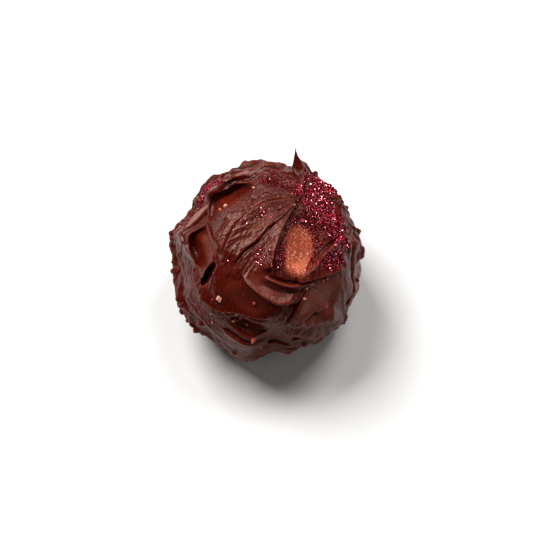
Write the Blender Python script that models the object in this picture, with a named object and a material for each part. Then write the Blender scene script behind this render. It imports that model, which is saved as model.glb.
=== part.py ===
"""A hand-spread chocolate truffle: one solid ball of chocolate on a flat base.

The ball is an uneven ellipsoid. Its swept face looks up and to the front, and carries what the
palette knife left: overlapping folds with sharp lips, scooped hollows, a slit, crests, and a tail
pulled up to a point. Strokes, streaks and beads cover the sides and the back, and a few crumbs
are stuck in the chocolate.

Lengths are in millimetres until a mesh is written, and MM turns them to metres there.
"""

import math
import random
from collections import namedtuple

import bmesh
import bpy
import numpy as np
from mathutils import Euler, Vector, noise

MM = 0.001

# The ball under the folds, measured from its centre.
HALF_WIDTH = 16.3
HALF_DEPTH = 17.3
CROWN_HEIGHT = 14.5
UNDER_DEPTH = 12.8
BASE_DEPTH = 9.75
FOOT_ROUNDING = 0.5

# The swept face is laid out on a plane that leans back this far from upright.
FACE_TILT = math.radians(65)
FACE_RIGHT = np.array((1.0, 0.0, 0.0))
FACE_UP = np.array((0.0, math.sin(FACE_TILT), math.cos(FACE_TILT)))
FACE_OUT = np.array((0.0, -math.cos(FACE_TILT), math.sin(FACE_TILT)))

# How fine the sculpted ball is, and the share of its faces that is kept.
BALL_SUBDIVISIONS = 7
KEPT_FACES = 0.125

CHOCOLATE_COLOUR = (0.075, 0.020, 0.012, 1.0)
CHOCOLATE_ROUGHNESS = 0.38

# A fold is a lip of chocolate: it drops by height over wall on the right of its route, and slopes
# away over run on the left. fade is the share of the route over which each end dies away, bead and
# trough are the roll along its edge and the furrow at its foot as shares of its height, and overhang
# is how far it leans out over its foot.
Fold = namedtuple("Fold", "name height run wall fade bead trough overhang route")
# A crest stands up along its route, or is a groove where its height is negative.
Crest = namedtuple("Crest", "name height width fade route")
# A hollow is an oval bowl sunk straight into the face: centre, half-length, half-width, bearing of
# its length, depth, how much deeper its left side is, and the power that rounds its rim.
Hollow = namedtuple("Hollow", "name centre length width bearing depth lean rounding")
# A flat is a patch that the knife left plane: its centre on the face, its half-length and half-width,
# the bearing of its length, how far it is lifted there, its lean to the right and upwards, and how
# sharply its rim ends.
Flat = namedtuple("Flat", "name centre length width bearing lift lean crispness")

# The narrowest wall and crest that the thinned mesh can hold.
LEAST_WALL = 0.45
LEAST_CREST = 0.3
# How a lip slopes away, and where its bead, its trough and its overhang lie across it.
LIP_FALL = 1.4
BEAD_PLACE = 0.25
BEAD_WIDTH = 0.2
TROUGH_WIDTH = 0.28
HANG_WIDTH = 0.7

# Routes are (right, up) points on the face plane, in millimetres from the ball's centre.
FACE_FOLDS = (
    Fold(
        "petal", 0.8, 4.5, 0.25, 0.1, 0.0, 0.7, 0.0,
        ((5.8, 10.9), (0.2, 9.9), (-2.3, 8.7), (-4.4, 6.7), (-6.0, 4.4), (-7.7, -0.2)),
    ),
    Fold(
        "petal_crease", 0.5, 2.2, 0.25, 0.12, 0.1, 0.4, 0.25,
        ((-5.6, -0.7), (-2.8, 2.3), (1.6, 6.8), (5.4, 10.2)),
    ),
    Fold(
        "dimple_side", 0.9, 2.0, 0.4, 0.12, 0.1, 0.3, 0.3,
        ((1.2, -1.6), (1.2, 0.5), (2.8, 5.4), (5.4, 10.0)),
    ),
    Fold(
        "band_roll", 0.5, 1.0, 0.3, 0.15, 0.2, 1.2, 0.0,
        ((8.6, -3.3), (6.7, -3.7), (4.7, -3.9), (3.0, -3.7), (0.0, -2.5)),
    ),
    Fold(
        "band_lower_edge", 0.7, 1.7, 0.25, 0.1, 0.15, 0.4, 0.35,
        ((-4.4, -1.9), (-0.7, -5.3), (1.1, -6.5), (2.8, -7.0), (6.7, -6.3)),
    ),
    Fold(
        "lobe_lower_wall", 1.1, 3.2, 0.35, 0.12, 0.0, 0.5, 0.5,
        ((5.4, -3.5), (7.0, -3.0), (11.0, -1.8), (14.4, -0.2)),
    ),
    Fold(
        "lobe_turned_over", 0.65, 2.4, 0.6, 0.15, 0.1, 0.6, 0.0,
        ((13.8, 4.7), (11.0, 2.5), (8.1, -0.4), (7.2, -1.9)),
    ),
    Fold(
        "step", 0.3, 5.0, 0.15, 0.08, 0.0, 1.0, 0.15,
        ((7.7, -4.2), (7.0, -5.6), (4.7, -9.3), (3.7, -11.2)),
    ),
    Fold(
        "step_toe", 0.5, 2.2, 0.25, 0.15, 0.0, 0.4, 0.3,
        ((4.0, -11.2), (6.1, -10.6), (10.3, -10.7), (12.4, -10.2)),
    ),
    Fold(
        "shelf", 0.9, 2.6, 0.35, 0.2, 0.0, 1.0, 0.5,
        ((2.6, -13.1), (5.3, -13.1), (10.0, -12.6), (11.4, -11.7)),
    ),
    Fold(
        "smooth_patch_lip", 0.5, 1.8, 0.2, 0.12, 0.2, 0.3, 0.25,
        ((-11.4, -5.4), (-8.4, -8.2), (-4.0, -9.0), (1.2, -10.2)),
    ),
    Fold(
        "tongue", 0.6, 2.6, 0.3, 0.12, 0.1, 0.3, 0.0,
        ((0.5, -14.5), (-1.6, -14.0), (-3.9, -13.2), (-7.7, -11.4)),
    ),
    Fold(
        "outer_smear", 0.6, 2.6, 0.25, 0.12, 0.0, 0.4, 0.3,
        ((-14.2, -6.1), (-12.6, -8.2), (-10.5, -10.5), (-6.0, -14.7)),
    ),
    Fold(
        "inner_smear", 0.5, 1.6, 0.2, 0.2, 0.0, 0.4, 0.2,
        ((-13.8, -0.2), (-13.0, -2.8), (-11.6, -5.3), (-9.8, -7.4)),
    ),
    Fold(
        "rim", 0.55, 1.3, 0.25, 0.12, 0.6, 0.3, 0.2,
        ((-10.9, 10.6), (-9.5, 12.1), (-6.5, 14.4), (-4.4, 14.9), (-2.3, 14.8)),
    ),
    Fold(
        "outer_rim", 0.6, 1.3, 0.25, 0.12, 0.3, 0.6, 0.2,
        ((-8.6, 14.2), (-6.5, 15.2), (-4.4, 16.0), (0.5, 16.5), (4.0, 16.3)),
    ),
    Fold(
        "left_hollow_side", 0.6, 0.8, 0.2, 0.15, 0.0, 0.5, 0.2,
        ((-8.1, 0.5), (-8.4, 2.5), (-9.5, 4.6), (-11.7, 8.1)),
    ),
    Fold(
        "right_leaf", 0.6, 1.5, 0.25, 0.15, 0.0, 0.3, 0.0,
        ((14.0, 7.7), (12.8, 9.5), (11.4, 10.6), (9.8, 11.2)),
    ),
    Fold(
        "slit_lip", 0.3, 1.0, 0.2, 0.2, 0.1, 0.2, 0.5,
        ((-11.5, -3.1), (-10.3, -1.7), (-8.6, 0.0)),
    ),
)
FACE_CRESTS = (
    Crest("spine", 0.5, 0.28, 0.12, ((5.6, 10.2), (5.8, 11.4), (6.4, 14.7), (6.1, 17.4))),
    Crest("spine_groove", -0.3, 0.3, 0.15, ((6.2, 9.8), (6.6, 12.2), (7.1, 14.6), (6.9, 16.8))),
    Crest("rim_roll", 0.55, 0.45, 0.15, ((-10.9, 11.3), (-9.2, 13.0), (-6.6, 14.8), (-3.6, 15.6))),
    Crest("rim_crevice", -0.9, 0.16, 0.12, ((-14.5, 6.2), (-13.4, 7.9), (-12.1, 9.4), (-10.8, 11.0))),
    Crest("rim_ridge", 0.4, 0.28, 0.2, ((-13.7, 7.0), (-12.8, 8.5), (-11.7, 9.8), (-9.3, 13.0))),
    Crest("upper_rib", 0.4, 0.35, 0.3, ((-2.3, 13.8), (-2.1, 12.1), (-3.5, 9.5))),
    Crest("right_layer", 0.5, 0.3, 0.2, ((13.5, 7.9), (13.1, 5.8), (13.3, 4.0), (14.7, -0.2))),
    Crest("right_groove", -0.6, 0.35, 0.15, ((14.2, 6.8), (14.4, 4.4), (14.9, 1.9), (14.9, -4.2))),
    Crest("right_edge", 0.4, 0.3, 0.2, ((14.7, 6.8), (15.6, 4.4), (16.0, 1.6), (15.8, -1.2))),
    Crest("facet_edge", 0.25, 0.2, 0.2, ((12.8, -4.0), (13.3, -6.5), (13.7, -8.9), (13.3, -10.5))),
    Crest("facet_groove", -0.6, 0.35, 0.2, ((14.9, -1.9), (14.9, -4.2), (14.4, -6.5), (13.8, -7.9))),
    Crest("band_furrow", -0.3, 0.6, 0.2, ((-1.2, -1.9), (2.5, -5.0), (6.8, -4.7))),
    Crest("bottom_lip", 0.7, 0.4, 0.15, ((0.4, -15.6), (2.6, -15.3), (8.2, -14.7))),
    Crest("shelf_gap", -0.6, 0.4, 0.2, ((5.6, -13.5), (7.9, -13.3), (10.0, -12.8))),
)
HOLLOWS = (
    Hollow("upper_left", (-6.7, 11.0), 5.3, 3.8, 35, 2.5, 0.8, 0.9),
    Hollow("left", (-11.5, 2.8), 4.3, 3.3, -60, 2.7, -0.3, 0.9),
    Hollow("dimple", (6.8, 3.2), 7.2, 5.0, 66, 1.3, 0.0, 1.6),
    Hollow("top", (1.9, 13.3), 4.4, 2.1, -6, 0.8, 0.0, 1.4),
    Hollow("slit", (-10.0, -2.2), 2.6, 1.1, 46, 2.6, 0.5, 0.6),
    Hollow("lower_left", (-3.0, -11.4), 3.8, 1.6, -22, 1.6, 0.3, 0.9),
    Hollow("step_foot", (4.7, -7.5), 2.2, 1.3, 60, 0.6, 0.0, 1.4),
    Hollow("beside_spine", (7.2, 10.2), 2.0, 1.2, 80, 0.6, 0.0, 1.3),
)
FLATS = (
    Flat("right_facet", (9.3, -6.8), 6.0, 4.2, 50, -0.5, (0.02, 0.10), 1.4),
    Flat("smooth_patch", (-1.8, -6.4), 5.4, 2.8, -20, -0.3, (0.0, 0.04), 1.0),
    Flat("tongue_face", (-3.0, -15.1), 4.0, 2.0, -14, 0.2, (0.0, 0.08), 1.4),
    Flat("upper_petal", (-0.5, 6.8), 3.2, 1.8, 48, 0.2, (-0.04, 0.06), 1.4),
)
# The narrow knife-edged facet of the upper left rim, cut after everything else.
RIM_FACET = Flat("rim_facet", (-12.5, 8.5), 3.7, 0.7, 53, -0.6, (0.66, -0.37), 3.0)
# Where the outline swells or draws in: bearing on the face plane, spread in degrees, height.
OUTLINE = (
    (10, 5, 0.6),
    (45, 30, 0.35),
    (75, 14, -0.2),
    (90, 6, 0.7),
    (112, 22, -0.8),
    (128, 7, 0.6),
    (145, 14, -1.7),
    (161, 5, 0.5),
    (188, 18, -1.4),
    (240, 12, -0.4),
    (258, 9, 0.7),
    (275, 12, -1.7),
    (293, 9, -0.9),
    (321, 5, 0.8),
    (342, 8, 0.6),
)

# Strokes round the sides and the back, one after another round the ball.
SIDE_STROKES = 26
STROKE_TURN = 137.5
STROKE_LENGTH = (40, 84)
STROKE_LEVELS = (1.8, 19.0)
STROKE_HEIGHT = (0.35, 0.85)
STROKE_CLIMB = (-4.5, 4.5)
SIDE_FOLD = Fold("side_stroke", 0.6, 1.9, 0.3, 0.3, 0.0, 0.2, 0.0, ())

# Beads of chocolate on the edge of the face as (bearing, radius), then those scattered on the sides.
EDGE_BEADS = (
    (5, 0.85),
    (40, 0.45),
    (60, 0.45),
    (163, 0.5),
    (171, 0.45),
    (207, 1.05),
    (217, 0.6),
    (229, 0.6),
    (238, 0.6),
    (255, 0.95),
    (265, 0.6),
    (323, 0.65),
)
SIDE_BEADS = 40
SIDE_BEAD_RADIUS = (0.4, 0.9)
BEAD_LEVELS = (0.8, 17.0)

# The pulled tail: where it leaves the face, where its point is, and the width of its foot. The
# third number of a place is how far it stands out of the face plane.
TAIL_FOOT = (6.5, 16.1, 1.2)
TAIL_POINT = (5.2, 20.2, 3.0)
TAIL_RADIUS = 2.2
TAIL_SHARPNESS = 1.8
# The mesh is drawn together round the tail: its share of the way, and over how many degrees.
TAIL_GATHERING = 0.6
TAIL_GATHERING_SPREAD = math.radians(12)

# Crumbs as (right, up, radius) on the face.
CRUMBS = (
    (-7.4, 10.4, 0.5),
    (-8.4, 9.6, 0.45),
    (-7.9, -6.5, 0.6),
    (-1.9, -7.5, 0.35),
    (-2.1, 13.3, 0.4),
    (7.2, -4.7, 0.4),
    (6.7, -6.5, 0.4),
    (9.8, -3.3, 0.4),
    (10.5, -3.0, 0.4),
    (11.4, 11.6, 0.5),
    (-4.9, -15.6, 0.5),
    (-4.2, -16.3, 0.4),
    (-6.1, -16.1, 0.45),
    (-7.2, -8.9, 0.4),
    (-5.7, -10.8, 0.45),
    (-3.3, -11.7, 0.4),
    (-2.1, -13.5, 0.55),
)

SAMPLES_PER_SPAN = 8
RANDOM_SEED = 11


# What stands on the ball: at each of its points, a height and a shift sideways.
Relief = namedtuple("Relief", "points heights shifts")


def bare(points):
    """The relief of the bare ball."""
    return Relief(points, np.zeros(len(points)), np.zeros((len(points), 3)))


def smooth_step(value):
    """0 below 0, 1 above 1, and a smooth rise between."""
    value = np.clip(value, 0.0, 1.0)
    return value * value * (3.0 - 2.0 * value)


def unit(vectors):
    """The vectors at length 1, row by row."""
    return vectors / np.linalg.norm(vectors, axis=-1, keepdims=True)


def core_radius(directions):
    """Distance from the centre to the ball's surface in each direction."""
    x, y, z = directions.T
    half_height = np.where(z > 0.0, CROWN_HEIGHT, UNDER_DEPTH)
    return 1.0 / np.sqrt((x / HALF_WIDTH) ** 2 + (y / HALF_DEPTH) ** 2 + (z / half_height) ** 2)


def onto_core(points):
    """The points moved along their radius onto the ball."""
    directions = unit(points)
    return directions * core_radius(directions)[:, None]


def face_point(right, up, out):
    """A place given on the face plane, in the ball's own axes."""
    return right * FACE_RIGHT + up * FACE_UP + out * FACE_OUT


def on_face(right, up):
    """The point of the ball's surface that is seen at (right, up) from in front of the face."""
    out = CROWN_HEIGHT
    for _ in range(30):
        point = face_point(right, up, out)
        out *= core_radius(unit(point)[None])[0] / np.linalg.norm(point)
    return onto_core(face_point(right, up, out)[None])[0]


def on_side(bearing, level):
    """The point of the ball's surface at a bearing in degrees and a height above the base."""
    z = level - BASE_DEPTH
    half_height = CROWN_HEIGHT if z > 0.0 else UNDER_DEPTH
    girth = math.sqrt(1.0 - (z / half_height) ** 2)
    angle = math.radians(bearing)
    return np.array((HALF_WIDTH * girth * math.cos(angle), HALF_DEPTH * girth * math.sin(angle), z))


def smooth_route(controls):
    """A smooth curve on the ball through the control points, as a row of close points."""
    controls = np.array(controls)
    ends = (2 * controls[0] - controls[1], 2 * controls[-1] - controls[-2])
    padded = np.vstack((ends[0], controls, ends[1]))
    rows = []
    for k in range(len(controls) - 1):
        before, start, end, after = padded[k : k + 4]
        for t in np.arange(SAMPLES_PER_SPAN) / SAMPLES_PER_SPAN:
            bend = (2 * before - 5 * start + 4 * end - after) * t * t
            twist = (3 * start - before - 3 * end + after) * t**3
            rows.append(0.5 * (2 * start + (end - before) * t + bend + twist))
    rows.append(controls[-1])
    return onto_core(np.array(rows))


def face_route(points):
    """A smooth route through (right, up) points of the face."""
    return smooth_route([on_face(right, up) for right, up in points])


def beside(points, route):
    """Where points lie beside the route.

    It returns how far each lies to the left, how far along from 0 to 1, and the direction to the
    left there.
    """
    distance = np.full(len(points), np.inf)
    left = np.zeros(len(points))
    along = np.zeros(len(points))
    aside = np.zeros((len(points), 3))
    last = len(route) - 1
    for k, (start, end) in enumerate(zip(route[:-1], route[1:])):
        step = end - start
        share = np.clip((points - start) @ step / (step @ step), 0.0, 1.0)
        offset = points - start - share[:, None] * step
        away = np.linalg.norm(offset, axis=1)
        nearer = away < distance
        leftward = np.cross(unit((start + end) / 2), unit(step))
        side = np.where(offset @ leftward < 0.0, -1.0, 1.0)
        distance[nearer] = away[nearer]
        left[nearer] = (side * away)[nearer]
        along[nearer] = ((k + share) / last)[nearer]
        aside[nearer] = leftward
    return left, along, aside


def within(points, route, reach):
    """The indices of the points that may lie within reach of the route."""
    middle = (route.max(axis=0) + route.min(axis=0)) / 2
    span = np.linalg.norm(route - middle, axis=1).max() + reach
    return np.flatnonzero(np.linalg.norm(points - middle, axis=1) < span)


def faded(along, fade):
    """1 along the middle of a route, and 0 at both of its ends."""
    return smooth_step(along / fade) * smooth_step((1.0 - along) / fade)


def add_fold(relief, route, fold):
    """A lip that ends in a wall on the right of the route and slopes away on the left."""
    near = within(relief.points, route, 1.2 * fold.run + 1.0)
    left, along, aside = beside(relief.points[near], route)
    wall = max(fold.wall, LEAST_WALL)
    top = smooth_step(left / wall + 0.5)
    lip = top * np.maximum(1.0 - np.maximum(left, 0.0) / fold.run, 0.0) ** LIP_FALL
    lip += fold.bead * np.exp(-(((left - BEAD_PLACE) / BEAD_WIDTH) ** 2))
    lip -= fold.trough * np.exp(-(((left + 0.6 * wall) / TROUGH_WIDTH) ** 2))
    share = faded(along, fold.fade)
    relief.heights[near] += share * fold.height * lip
    hang = fold.overhang * share * top * np.exp(-((np.maximum(left, 0.0) / HANG_WIDTH) ** 2))
    relief.shifts[near] -= hang[:, None] * aside


def add_crest(relief, route, crest):
    """A rounded crest, or a groove, along the route."""
    near = within(relief.points, route, 4 * crest.width)
    left, along, _ = beside(relief.points[near], route)
    profile = np.exp(-((left / max(crest.width, LEAST_CREST)) ** 2))
    relief.heights[near] += crest.height * faded(along, crest.fade) * profile


def oval_place(points, centre, oval):
    """How far each point lies along and across an oval, with 1 at its rim and 9 behind the ball."""
    angle = math.radians(oval.bearing)
    outward = unit(centre)
    lengthwise = math.cos(angle) * FACE_RIGHT + math.sin(angle) * FACE_UP
    lengthwise = unit(lengthwise - (lengthwise @ outward) * outward)
    offset = points - centre
    along = offset @ lengthwise / oval.length
    across = offset @ np.cross(outward, lengthwise) / oval.width
    behind = points @ outward < 0.0
    return np.where(behind, 9.0, along), np.where(behind, 9.0, across)


def add_hollow(relief, hollow):
    """An oval bowl sunk straight into the face."""
    along, across = oval_place(relief.points, on_face(*hollow.centre), hollow)
    inside = np.maximum(1.0 - along**2 - across**2, 0.0)
    deepened = 1.0 + hollow.lean * np.clip(across, -1.0, 1.0)
    depth = hollow.depth * deepened * inside**hollow.rounding
    relief.shifts[:] -= depth[:, None] * FACE_OUT


def flatten(relief, flat):
    """Presses an oval patch of the face to a plane."""
    centre = on_face(*flat.centre)
    outward = unit(centre)
    lean = flat.lean[0] * FACE_RIGHT + flat.lean[1] * FACE_UP
    normal = unit(outward + lean)
    along, across = oval_place(relief.points, centre, flat)
    share = smooth_step(flat.crispness * (1.0 - along**2 - across**2))
    near = np.flatnonzero(share)
    places = relief.points[near]
    reach = np.linalg.norm(places, axis=1)
    plane = (centre + flat.lift * outward) @ normal / (places @ normal / reach) - reach
    relief.heights[near] += share[near] * (plane - relief.heights[near])
    relief.shifts[near] *= 1.0 - share[near, None]


def add_bead(relief, centre, radius):
    """A round bead of chocolate standing on the surface."""
    away = np.linalg.norm(relief.points - centre, axis=1) / radius
    relief.heights[:] += radius * np.sqrt(np.maximum(1.0 - away**2, 0.0))


def add_outline(relief, directions):
    """The swellings and flats of the ball's outline, round the edge of the face."""
    across, up, out = directions @ FACE_RIGHT, directions @ FACE_UP, directions @ FACE_OUT
    bearing = np.degrees(np.arctan2(up, across))
    at_edge = smooth_step((np.hypot(across, up) - 0.55) / 0.35) * smooth_step(out + 1.2)
    for centre, spread, height in OUTLINE:
        off = (bearing - centre + 180.0) % 360.0 - 180.0
        relief.heights[:] += height * at_edge * np.exp(-((off / spread) ** 2))


def noise_at(places, scale, seed):
    """Smooth noise from about -1 to 1 at each place, with lumps of about that scale."""
    shift = Vector((seed * 7.3, seed * 3.1, seed * 5.7))
    return np.array([noise.noise(Vector(place) / scale + shift) for place in places])


def add_lumps_and_streaks(relief, directions):
    """Soft lumps all over, and streaks that run round the sides where the knife dragged."""
    points = relief.points
    relief.heights[:] += 0.3 * noise_at(points, 5.5, 1) + 0.12 * noise_at(points, 2.2, 2)
    angle = np.arccos(np.clip(directions @ FACE_OUT, -1.0, 1.0))
    flat = np.stack((directions @ FACE_RIGHT, directions @ FACE_UP), axis=1)
    sideways = 5.0 * unit(flat + 1e-6)
    rows = np.column_stack((sideways, 15.0 * angle + 0.9 * noise_at(points, 6.0, 3)))
    ridges = 0.35 - np.abs(noise_at(rows, 1.5, 4))
    knobs = noise_at(points, 1.3, 5)
    relief.heights[:] += smooth_step((angle - 1.05) / 0.35) * (0.7 * ridges + 0.3 * knobs)


def side_stroke_routes(draw):
    """Routes of the strokes round the sides and the back, each with its height."""
    for k in range(SIDE_STROKES):
        bearing = STROKE_TURN * k
        level = STROKE_LEVELS[0] + (STROKE_LEVELS[1] - STROKE_LEVELS[0]) * ((k * 0.618) % 1.0)
        climb = draw.uniform(*STROKE_CLIMB)
        length = draw.uniform(*STROKE_LENGTH)
        height = draw.uniform(*STROKE_HEIGHT)
        shares = (-0.5, -0.15, 0.2, 0.5)
        levels = [level + climb * share + draw.uniform(-0.6, 0.6) for share in shares]
        bearings = [bearing + length * share for share in shares]
        controls = [on_side(b, min(max(z, 1.0), 21.5)) for b, z in zip(bearings, levels)]
        yield smooth_route(controls), height


def off_the_face(directions):
    """0 on the swept face and 1 on the sides and the back."""
    return smooth_step((0.5 - directions @ FACE_OUT) / 0.3)


def gathered(directions):
    """The directions drawn together round the tail, so that more of the mesh lies there."""
    centre = unit(face_point(*TAIL_FOOT))
    apart = np.arccos(np.clip(directions @ centre, -1.0, 1.0))
    kept = apart * (1.0 - TAIL_GATHERING * np.exp(-((apart / TAIL_GATHERING_SPREAD) ** 2)))
    aside = unit(directions - (directions @ centre)[:, None] * centre + 1e-9)
    return np.cos(kept)[:, None] * centre + np.sin(kept)[:, None] * aside


def pull_tail(points, surface):
    """Draws the surface out to a point along the tail, narrowing as it rises."""
    foot = face_point(*TAIL_FOOT)
    away = np.linalg.norm(points - onto_core(foot[None])[0], axis=1) / TAIL_RADIUS
    pull = np.maximum(1.0 - away, 0.0) ** TAIL_SHARPNESS
    return surface + pull[:, None] * (face_point(*TAIL_POINT) - foot)


def sculpted(directions):
    """The truffle's surface in each direction from its centre, with the base left round."""
    points = directions * core_radius(directions)[:, None]
    relief = bare(points)
    add_lumps_and_streaks(relief, directions)
    for flat in FLATS:
        flatten(relief, flat)
    for fold in FACE_FOLDS:
        add_fold(relief, face_route(fold.route), fold)
    for crest in FACE_CRESTS:
        add_crest(relief, face_route(crest.route), crest)
    for hollow in HOLLOWS:
        add_hollow(relief, hollow)
    draw = random.Random(RANDOM_SEED)
    on_sides = bare(points)
    for route, height in side_stroke_routes(draw):
        add_fold(on_sides, route, SIDE_FOLD._replace(height=height))
    relief.heights[:] += on_sides.heights * off_the_face(directions)
    for bearing, radius in EDGE_BEADS:
        edge = 20.0 * np.array((math.cos(math.radians(bearing)), math.sin(math.radians(bearing))))
        add_bead(relief, on_face(*edge), radius)
    for _ in range(SIDE_BEADS):
        centre = on_side(draw.uniform(0, 360), draw.uniform(*BEAD_LEVELS))
        radius = draw.uniform(*SIDE_BEAD_RADIUS)
        if unit(centre) @ FACE_OUT < 0.45:
            add_bead(relief, centre, radius)
    add_outline(relief, directions)
    flatten(relief, RIM_FACET)
    surface = points + relief.heights[:, None] * directions + relief.shifts
    return pull_tail(points, surface)


def set_on_base(points):
    """Presses the underside flat at the base and lifts the origin to it."""
    raised = points + (0.0, 0.0, BASE_DEPTH)
    z = raised[:, 2] / FOOT_ROUNDING
    raised[:, 2] = FOOT_ROUNDING * np.where(z > 8.0, z, np.log1p(np.exp(np.minimum(z, 8.0))))
    return raised


def cut_flat(mesh_object, level):
    """Cuts the underside off at a level and sets the new flat base at height zero."""
    shape = bmesh.new()
    shape.from_mesh(mesh_object.data)
    everything = shape.verts[:] + shape.edges[:] + shape.faces[:]
    cut = bmesh.ops.bisect_plane(
        shape, geom=everything, plane_co=(0, 0, level), plane_no=(0, 0, -1), clear_outer=True
    )
    rim = [item for item in cut["geom_cut"] if isinstance(item, bmesh.types.BMEdge)]
    bmesh.ops.holes_fill(shape, edges=rim)
    bmesh.ops.triangulate(shape, faces=shape.faces)
    bmesh.ops.translate(shape, vec=(0, 0, -level), verts=shape.verts)
    shape.to_mesh(mesh_object.data)
    shape.free()


def new_object(name, shape, collection, material):
    """Links a mesh object made from a bmesh, which it frees."""
    mesh = bpy.data.meshes.new(name)
    shape.to_mesh(mesh)
    shape.free()
    mesh.materials.append(material)
    made = bpy.data.objects.new(name, mesh)
    collection.objects.link(made)
    return made


def apply_modifier(mesh_object, name):
    """Applies one modifier to the object."""
    bpy.context.view_layer.objects.active = mesh_object
    bpy.ops.object.modifier_apply(modifier=name)


def chocolate():
    """Dark chocolate with a satin surface."""
    material = bpy.data.materials.new("dark_chocolate")
    material.use_nodes = True
    shader = material.node_tree.nodes["Principled BSDF"]
    shader.inputs["Base Color"].default_value = CHOCOLATE_COLOUR
    shader.inputs["Roughness"].default_value = CHOCOLATE_ROUGHNESS
    shader.inputs["Metallic"].default_value = 0.0
    return material


def make_ball(collection, material):
    """The sculpted ball, thinned to fewer faces and cut flat underneath."""
    shape = bmesh.new()
    bmesh.ops.create_icosphere(shape, subdivisions=BALL_SUBDIVISIONS, radius=1.0)
    directions = gathered(unit(np.array([vertex.co[:] for vertex in shape.verts])))
    surface = set_on_base(sculpted(directions)) * MM
    for vertex, place in zip(shape.verts, surface):
        vertex.co = place
    ball = new_object("truffle", shape, collection, material)
    thin = ball.modifiers.new("Thin", "DECIMATE")
    thin.ratio = KEPT_FACES
    apply_modifier(ball, "Thin")
    cut_flat(ball, 0.15 * MM)
    return ball


def surface_near(ball, direction):
    """The outermost point of the ball near a direction from its centre, in millimetres."""
    places = np.array([vertex.co[:] for vertex in ball.data.vertices]) / MM
    offsets = places - (0.0, 0.0, BASE_DEPTH)
    return offsets[np.argmax(unit(offsets) @ direction)]


def add_crumbs(ball, material):
    """Fuses the crumbs to the ball with one union."""
    draw = random.Random(RANDOM_SEED)
    crumbs = bpy.data.collections.new("crumbs")
    bpy.context.scene.collection.children.link(crumbs)
    for right, up, radius in CRUMBS:
        shape = bmesh.new()
        bmesh.ops.create_icosphere(shape, subdivisions=1, radius=radius * MM)
        stretch = [draw.uniform(0.75, 1.2) for _ in range(3)]
        bmesh.ops.scale(shape, vec=stretch, verts=shape.verts)
        turn = Euler([draw.uniform(0, math.tau) for _ in range(3)])
        bmesh.ops.rotate(shape, cent=(0, 0, 0), matrix=turn.to_matrix(), verts=shape.verts)
        place = surface_near(ball, unit(on_face(right, up))) + (0.0, 0.0, BASE_DEPTH)
        bmesh.ops.translate(shape, vec=Vector(place * MM), verts=shape.verts)
        new_object("crumb", shape, crumbs, material)
    union = ball.modifiers.new("Crumbs", "BOOLEAN")
    union.operation = "UNION"
    union.operand_type = "COLLECTION"
    union.collection = crumbs
    apply_modifier(ball, "Crumbs")
    for crumb in list(crumbs.objects):
        bpy.data.objects.remove(crumb)
    bpy.data.collections.remove(crumbs)


def main():
    """Clears the scene and makes the truffle."""
    for old in list(bpy.data.objects):
        bpy.data.objects.remove(old)
    collection = bpy.data.collections.new("chocolate_truffle")
    bpy.context.scene.collection.children.link(collection)
    material = chocolate()
    ball = make_ball(collection, material)
    add_crumbs(ball, material)
    ball.data.shade_smooth()


if __name__ == "__main__":
    main()
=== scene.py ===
"""Looks of a hand-spread dark chocolate truffle dusted with berry sugar.

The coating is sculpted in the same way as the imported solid, and finer: an uneven ball whose swept
face carries the palette knife's folds, hollows and flats, with layered sides and a pulled tail.
Crumbs of nut and berry are stuck in it, and crimson sugar lies thickest to the right of the tail.

Places on the swept face are (right, up) in millimetres from the ball's centre, as the face is seen
from in front, and MM turns them to metres where a mesh is written.
"""

from __future__ import annotations

import logging
import math
import random
from collections.abc import Iterator
from dataclasses import dataclass, field
from enum import Enum

import bmesh
import bpy
import numpy as np
from mathutils import Matrix, Vector, noise
from mathutils.bvhtree import BVHTree

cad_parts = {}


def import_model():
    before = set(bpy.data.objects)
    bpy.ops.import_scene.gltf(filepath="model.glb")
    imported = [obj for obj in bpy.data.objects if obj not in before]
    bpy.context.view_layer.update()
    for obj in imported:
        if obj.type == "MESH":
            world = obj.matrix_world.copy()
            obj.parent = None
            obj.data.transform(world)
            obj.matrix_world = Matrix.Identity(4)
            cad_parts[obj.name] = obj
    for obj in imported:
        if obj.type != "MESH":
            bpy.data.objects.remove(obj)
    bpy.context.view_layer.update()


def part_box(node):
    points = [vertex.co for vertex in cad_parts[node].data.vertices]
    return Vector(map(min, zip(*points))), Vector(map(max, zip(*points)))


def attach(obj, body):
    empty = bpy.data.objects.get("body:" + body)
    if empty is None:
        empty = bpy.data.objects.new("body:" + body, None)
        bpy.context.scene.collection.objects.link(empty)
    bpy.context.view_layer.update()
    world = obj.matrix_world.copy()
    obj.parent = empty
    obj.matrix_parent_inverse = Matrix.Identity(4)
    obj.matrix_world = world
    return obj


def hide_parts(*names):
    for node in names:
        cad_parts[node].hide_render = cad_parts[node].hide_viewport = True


LOG = logging.getLogger("truffle")
MM = 0.001
# How much of the underside the flat base takes off, in millimetres.
BASE_CUT = 0.15
Array = np.ndarray
Pair = tuple[float, float]
Triple = tuple[float, float, float]

# The swept face is laid out on a plane that leans back this far from upright.
FACE_TILT = math.radians(65)
FACE_RIGHT = np.array((1.0, 0.0, 0.0))
FACE_UP = np.array((0.0, math.sin(FACE_TILT), math.cos(FACE_TILT)))
FACE_OUT = np.array((0.0, -math.cos(FACE_TILT), math.sin(FACE_TILT)))

# How far apart the fields of noise lie along each axis, and two lengths too small to matter, which
# keep a direction from having no length.
FIELD_STEPS = (7.3, 3.1, 5.7)
TINY = 1e-6
LEAST = 1e-9


class Slot(Enum):
    """The record's material slots."""

    CHOCOLATE = "dark_chocolate"
    SUGAR = "berry_sugar"
    NUT = "nut_crumb"


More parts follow.
